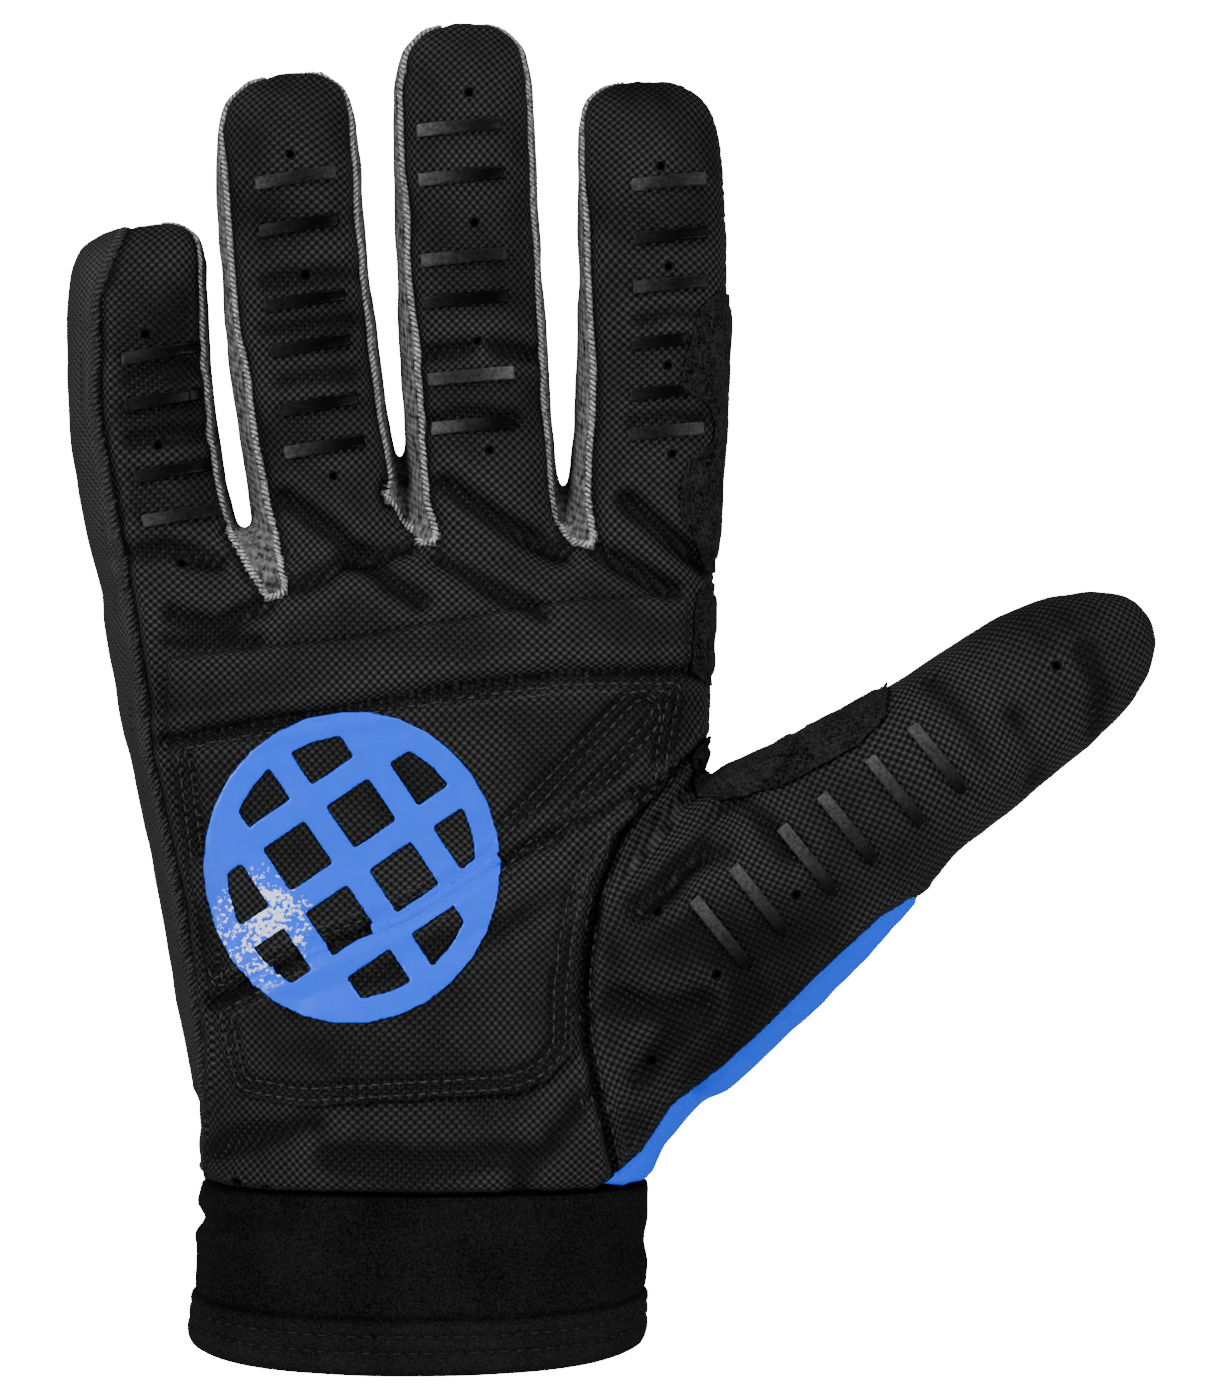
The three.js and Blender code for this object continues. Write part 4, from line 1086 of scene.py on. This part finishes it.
# %% A socket that does arithmetic
class Socket:
    """A shader node's output that Python's operators work on."""

    def __init__(self, tree, output):
        self.tree = tree
        self.output = output

    def math(self, operation, *others):
        node = self.tree.nodes.new("ShaderNodeMath")
        node.operation = operation
        for place, value in enumerate((self, *others)):
            if isinstance(value, Socket):
                self.tree.links.new(value.output, node.inputs[place])
            else:
                node.inputs[place].default_value = value
        return Socket(self.tree, node.outputs[0])

    def __add__(self, other):
        return self.math("ADD", other)

    def __sub__(self, other):
        return self.math("SUBTRACT", other)

    def __mul__(self, other):
        return self.math("MULTIPLY", other)

    def __pow__(self, other):
        return self.math("POWER", other)

    def __radd__(self, other):
        return self.math("ADD", other)

    def __rmul__(self, other):
        return self.math("MULTIPLY", other)

    def __rsub__(self, other):
        return self.math("MULTIPLY", -1.0).math("ADD", other)

    def sin(self):
        return self.math("SINE")

    def clamped(self):
        return self.math("MAXIMUM", 0.0).math("MINIMUM", 1.0)


class Finish:
    """A material on the Principled shader, with helpers to add nodes to it."""

    def __init__(self, name):
        self.material = bpy.data.materials.new(name)
        self.material.use_nodes = True
        self.tree = self.material.node_tree
        self.shader = self.tree.nodes["Principled BSDF"]

    def node(self, kind, output=0, settings=None, inputs=None):
        node = self.tree.nodes.new(kind)
        for key, value in (settings or {}).items():
            setattr(node, key, value)
        for key, value in (inputs or {}).items():
            if isinstance(value, Socket):
                self.tree.links.new(value.output, node.inputs[key])
            else:
                node.inputs[key].default_value = value
        return Socket(self.tree, node.outputs[output])

    def split(self, vector):
        """The three numbers of a vector."""
        node = self.tree.nodes.new("ShaderNodeSeparateXYZ")
        self.tree.links.new(vector.output, node.inputs[0])
        return [Socket(self.tree, out) for out in node.outputs]

    def place(self):
        """x, y and z of the point on the object, in millimetres."""
        where = self.node("ShaderNodeTexCoord", "Object")
        return [number * 1000.0 for number in self.split(where)]

    def cloth(self):
        """The point's place on the cloth, in millimetres."""
        settings = {"attribute_name": "cloth", "attribute_type": "GEOMETRY"}
        return self.split(self.node("ShaderNodeAttribute", "Vector", settings))[:2]

    def stored(self, name):
        """A number stored on the points."""
        settings = {"attribute_name": name, "attribute_type": "GEOMETRY"}
        return self.node("ShaderNodeAttribute", "Fac", settings)

    def noise(self, scale, detail=3.0, squeeze=(1.0, 1.0, 1.0)):
        """Smooth noise about 0.5, with features of 1/scale metres, drawn out where squeeze is low."""
        where = self.node("ShaderNodeTexCoord", "Object")
        if squeeze != (1.0, 1.0, 1.0):
            inputs = {0: where, 1: squeeze}
            where = self.node("ShaderNodeVectorMath", 0, {"operation": "MULTIPLY"}, inputs)
        inputs = {"Vector": where, "Scale": scale, "Detail": detail}
        return self.node("ShaderNodeTexNoise", "Fac", inputs=inputs)

    def mix(self, amount, a, b):
        """Colour a where amount is 0, b where it is 1."""
        node = self.tree.nodes.new("ShaderNodeMix")
        node.data_type = "RGBA"
        self.tree.links.new(amount.output, node.inputs["Factor"])
        for key, value in ((6, a), (7, b)):
            if isinstance(value, Socket):
                self.tree.links.new(value.output, node.inputs[key])
            else:
                node.inputs[key].default_value = (*value, 1.0)
        return Socket(self.tree, node.outputs[2])

    def bump(self, height, depth_mm):
        """Turns a height between 0 and 1 into dents of the given depth."""
        inputs = {"Height": height, "Strength": 1.0, "Distance": depth_mm * MM}
        self.set("Normal", self.node("ShaderNodeBump", inputs=inputs))

    def set(self, key, value):
        target = self.shader.inputs[key]
        if isinstance(value, Socket):
            self.tree.links.new(value.output, target)
        elif isinstance(value, tuple):
            target.default_value = (*value, 1.0)
        else:
            target.default_value = value


# %% [markdown]
# ## Mesh leather
# The leather is embossed with a lattice of thin cords, slanted both ways, with a pit in each
# square and a knot where two cords cross. Two sine waves on the cloth's own places make all
# three. The pits are darkened with painted shade, and the knots get a painted highlight, partly
# rubbed wear, where the stored wear and shade is high; the ground between is painted darker where
# the relief lies deep. An image could hold the same lattice, but would blur close to.

# %% Mesh leather
PITCH = 1.02  # millimetres from pit to pit


def mesh_leather():
    finish = Finish("mesh leather")
    u, v = finish.cloth()
    step = math.pi / PITCH
    rib_a = ((u + v) * (0.7071 * step)).sin() ** 2.0
    rib_b = ((u - v) * (0.7071 * step)).sin() ** 2.0
    pit = rib_a * rib_b
    knot = (1.0 - rib_a) * (1.0 - rib_b)
    cords = (1.0 - rib_a) * 0.5 + (1.0 - rib_b) * 0.5
    # How rubbed and lit the knots are, from the stored wear and painted light and shade.
    rubbed_and_lit = (finish.stored("wear") * 1.1 + finish.noise(90.0) * 0.5 - 0.3).clamped()
    # Painted shade darkens the pits.
    pit_shade = (pit ** 1.3 * 1.7).clamped()
    # The ground is painted lighter where the relief stands out and darker where it lies deep.
    web_wear_and_shade = finish.mix((finish.stored("wear") * 1.6).clamped(), (0.001, 0.001, 0.001), (0.01, 0.01, 0.01))
    ground = finish.mix(pit_shade, web_wear_and_shade, (0.0004, 0.0004, 0.0004))
    # Painted highlight on the knots, partly rubbed wear.
    amount = (knot ** 1.5 * (0.08 + rubbed_and_lit)).clamped()
    finish.set("Base Color", finish.mix(amount, ground, (0.045, 0.045, 0.045)))
    finish.set("Roughness", 0.4 + pit * 0.4)
    finish.set("Specular IOR Level", 0.08)
    finish.bump(cords + finish.noise(900.0) * 0.2, 0.3)
    return finish.material


# %% [markdown]
# ## The other cloths
# Blue and black stretch cloth have a fine twill. The gussets are rib knit, fluffy, with painted
# shade that darkens them towards the back, where they turn away from the light. Suede is mottled
# noise with hardly any shine, and neoprene has a fine knit face with a dusty grain, and painted
# shade in its dips with painted light on its bulges. Each differs by its own height pattern, so
# that light tells them apart even where all are black.

# %% Stretch cloth, knit, suede and neoprene
def stretch(name, colour, dark, pitch, depth, level):
    finish = Finish(name)
    u, v = finish.cloth()
    step = math.pi / pitch
    weave = (((u + v) * (0.7071 * step)).sin() * ((u - v) * (0.7071 * step)).sin()) ** 2.0
    base = finish.mix((weave * 0.9 + finish.noise(300.0) * 0.3).clamped(), colour, dark)
    finish.set("Base Color", base)
    finish.set("Roughness", 0.55)
    finish.set("Specular IOR Level", level)
    finish.bump(1.0 - weave, depth)
    return finish.material


def rib_knit():
    finish = Finish("rib knit")
    x, y, z = finish.place()
    rib = ((z + x * 0.15 - y * 0.35) * (math.pi / 1.2)).sin() ** 2.0
    loop = ((y + x * 0.7) * (math.pi / 0.7)).sin() ** 2.0
    height = rib * 0.75 + loop * 0.25
    fluff = finish.noise(1500.0, 4.0, (1.0, 1.0, 0.35))
    # Painted shade: the knit is darker towards the back, where the gusset turns away from the light.
    lit_front = ((y * -1.0 + 0.5) * 0.2).clamped()
    shade = ((height * 0.35 + fluff * 2.4 - 0.95) * (0.25 + lit_front * 0.75)).clamped()
    finish.set("Base Color", finish.mix(shade, (0.01, 0.01, 0.011), (0.15, 0.15, 0.15)))
    finish.set("Roughness", 0.85)
    finish.set("Specular IOR Level", 0.1)
    finish.bump(height, 0.25)
    return finish.material


def suede():
    finish = Finish("suede")
    nap = finish.noise(1900.0, 3.0) * 3.0 + finish.noise(260.0) * 1.2 - 1.6
    finish.set("Base Color", finish.mix(nap.clamped(), (0.001, 0.001, 0.001), (0.02, 0.02, 0.021)))
    finish.set("Roughness", 0.95)
    finish.set("Specular IOR Level", 0.03)
    finish.set("Sheen Weight", 0.01)
    finish.set("Sheen Roughness", 0.4)
    finish.bump(nap, 0.15)
    return finish.material


def neoprene():
    finish = Finish("neoprene")
    x, _, z = finish.place()
    knit = (x * (math.pi / 0.55)).sin() ** 2.0 * (z * (math.pi / 0.55)).sin() ** 2.0
    grain = finish.noise(2600.0, 2.0)
    # Painted light and shade from the stored value lighten bulges and darken dips; grain and noise add
    # random tone.
    shade = (finish.noise(90.0) * 0.6 + grain * 1.7 + finish.stored("wear") * 0.9 - 1.12).clamped()
    finish.set("Base Color", finish.mix(shade, (0.0005, 0.0005, 0.0005), (0.013, 0.013, 0.013)))
    finish.set("Roughness", 0.9)
    finish.set("Specular IOR Level", 0.03)
    finish.bump(knit * 0.5 + grain * 0.5, 0.1)
    return finish.material


# %% [markdown]
# ## Rubber and thread
# The bars are black rubber with a gloss, with a painted reflection that turns them grey and dull
# towards one end. The print is bright blue, crinkled in one spot, where a white glint is painted
# into its colour. Thread is noise fine enough to look like strands.

# %% Rubber and thread
def grip_rubber():
    finish = Finish("grip rubber")
    reflection_mottle = finish.noise(420.0)
    reflection_speckle = finish.noise(1700.0, 4.0)
    # Painted reflection: the stored grey, broken up by noise, goes into the bar's colour.
    grey = (finish.stored("scuff") * (reflection_mottle * 0.8 + reflection_speckle * 2.2 - 0.6)).clamped()
    finish.set("Base Color", finish.mix(grey, (0.001, 0.001, 0.001), (0.085, 0.085, 0.086)))
    finish.set("Roughness", 0.34 + grey * 0.4)
    finish.set("Specular IOR Level", 0.05)
    finish.bump(finish.noise(260.0), 0.05)
    return finish.material


# The crinkled spot is also where a white glint is painted into the print's colour.
GLINT_SPOT_X, GLINT_SPOT_Z = -25.0, 70.0  # the middle of the crackled spot, in millimetres


def print_rubber():
    finish = Finish("print rubber")
    x, _, z = finish.place()
    crinkle_and_glint_spot = 1.0 - (x - GLINT_SPOT_X) ** 2.0 * 0.012 - (z - GLINT_SPOT_Z) ** 2.0 * 0.009
    crinkle_and_glint_spot = crinkle_and_glint_spot.clamped()
    crackle = finish.noise(1300.0, 4.0)
    patchy = finish.noise(420.0)
    # Painted glint: white is painted into the print's colour in the crinkled spot.
    painted_glint = ((crackle * 3.2 + patchy * 1.6 + crinkle_and_glint_spot * 0.5 - 2.75) * 5.0).clamped()
    painted_glint = painted_glint * (crinkle_and_glint_spot * 4.0).clamped()
    blue = finish.mix(finish.noise(420.0), (0.0, 0.085, 1.0), (0.0, 0.065, 0.92))
    finish.set("Base Color", finish.mix(painted_glint, blue, (0.75, 0.83, 0.95)))
    finish.set("Roughness", 0.22 + crackle * 0.1)
    finish.set("Specular IOR Level", 0.2)
    finish.bump(finish.noise(260.0) * 0.5 + crackle * crinkle_and_glint_spot, 0.1)
    return finish.material


def thread(name, colour, dark):
    finish = Finish(name)
    strand = (finish.noise(1600.0, 4.0) * 2.6 - 0.8).clamped()
    finish.set("Base Color", finish.mix(strand, dark, colour))
    finish.set("Roughness", 0.7)
    finish.set("Specular IOR Level", 0.1)
    return finish.material


BLUE, DEEP_BLUE = (0.0, 0.08, 0.98), (0.0, 0.06, 0.88)
BLACK, DEEP_BLACK = (0.016, 0.016, 0.016), (0.0015, 0.0015, 0.0015)
FINISHES = {
    "mesh_leather": mesh_leather(),
    "stretch_blue": stretch("blue stretch", BLUE, DEEP_BLUE, 0.6, 0.04, 0.04),
    "stretch_black": stretch("black stretch", BLACK, DEEP_BLACK, 0.8, 0.2, 0.22),
    "rib_knit": rib_knit(),
    "suede": suede(),
    "neoprene": neoprene(),
    "grip_rubber": grip_rubber(),
    "print_rubber": print_rubber(),
}
THREADS = {
    "pad_stitching": thread("pad thread", (0.05, 0.05, 0.05), (0.01, 0.01, 0.01)),
    "patch_stitching": thread("patch thread", (0.01, 0.01, 0.01), (0.003, 0.003, 0.003)),
    "seam_stitching": thread("seam thread", (0.045, 0.045, 0.045), (0.015, 0.015, 0.015)),
    "hem_stitching": thread("hem thread", (0.016, 0.016, 0.016), (0.004, 0.004, 0.004)),
    "gusset_overcasting": thread("grey thread", (0.5, 0.5, 0.49), (0.035, 0.035, 0.035)),
}
for name, (obj, slot) in pieces.items():
    obj.data.materials.clear()
    obj.data.materials.append(THREADS.get(name, FINISHES[slot]))
print("materials", [*FINISHES, *THREADS])

# %% [markdown]
# ## The studio
# The glove hangs in front of plain white, over a pale floor. Black cloth shows only by what it
# reflects, so the white that falls on it is dim, and large soft lights to the left, to the right
# and above draw its folds. The backdrop and the floor are bright for the camera alone.

# %% Floor, light and camera
BRIGHT = 18.0  # the white that the camera sees
DIM = 0.15  # the white that falls on the glove


def seen_directly(tree, dim, bright):
    """A number that is bright for the camera and dim for everything else."""
    light_path = tree.nodes.new("ShaderNodeLightPath")
    chosen = tree.nodes.new("ShaderNodeMix")
    chosen.inputs["A"].default_value = dim
    chosen.inputs["B"].default_value = bright
    tree.links.new(light_path.outputs["Is Camera Ray"], chosen.inputs["Factor"])
    return chosen.outputs["Result"]


def plain_floor():
    bm = bmesh.new()
    bmesh.ops.create_grid(bm, x_segments=1, y_segments=1, size=6.0)
    bmesh.ops.translate(bm, verts=bm.verts, vec=(0, 0, -0.4))
    obj = bpy.data.objects.new("floor", mesh_of(bm, "floor"))
    bpy.context.scene.collection.objects.link(obj)
    finish = Finish("pale floor")
    finish.set("Base Color", (0.6, 0.6, 0.6))
    finish.set("Roughness", 0.9)
    finish.set("Emission Color", (1.0, 1.0, 1.0))
    glow = seen_directly(finish.tree, 0.0, BRIGHT)
    finish.tree.links.new(glow, finish.shader.inputs["Emission Strength"])
    obj.data.materials.append(finish.material)


def soft_light(name, place, target, size, watts):
    data = bpy.data.lights.new(name, "AREA")
    data.size = size
    data.energy = watts
    obj = bpy.data.objects.new(name, data)
    obj.location = place
    obj.rotation_euler = (Vector(target) - Vector(place)).to_track_quat("-Z", "Y").to_euler()
    bpy.context.scene.collection.objects.link(obj)


plain_floor()
middle = (0.03, 0.0, 0.11)
soft_light("left", (-0.95, -0.7, 0.5), middle, 0.5, 20.0)
soft_light("right", (0.95, -0.7, -0.1), middle, 0.5, 11.0)
soft_light("above", (0.35, -0.5, 1.1), middle, 0.5, 9.0)
world = bpy.data.worlds.new("studio")
world.use_nodes = True
backdrop = world.node_tree.nodes["Background"]
backdrop.inputs["Color"].default_value = (1.0, 1.0, 1.0, 1.0)
world.node_tree.links.new(
    seen_directly(world.node_tree, DIM, BRIGHT), backdrop.inputs["Strength"]
)
bpy.context.scene.world = world

camera = bpy.data.objects.new("camera", bpy.data.cameras.new("camera"))
camera.data.lens = 106.0
camera.data.sensor_width = 36.0
camera.location = (0.0318, -0.70, 0.1074)
camera.rotation_euler = (math.radians(90), 0, 0)
bpy.context.scene.collection.objects.link(camera)
bpy.context.scene.camera = camera

# %% [markdown]
# ## The last step
# The triangles of all the pieces are counted and printed.

# %% Finish
triangles = sum(len(obj.data.polygons) * 2 for obj, _ in pieces.values())
print("about", triangles, "triangles in", len(pieces), "pieces")
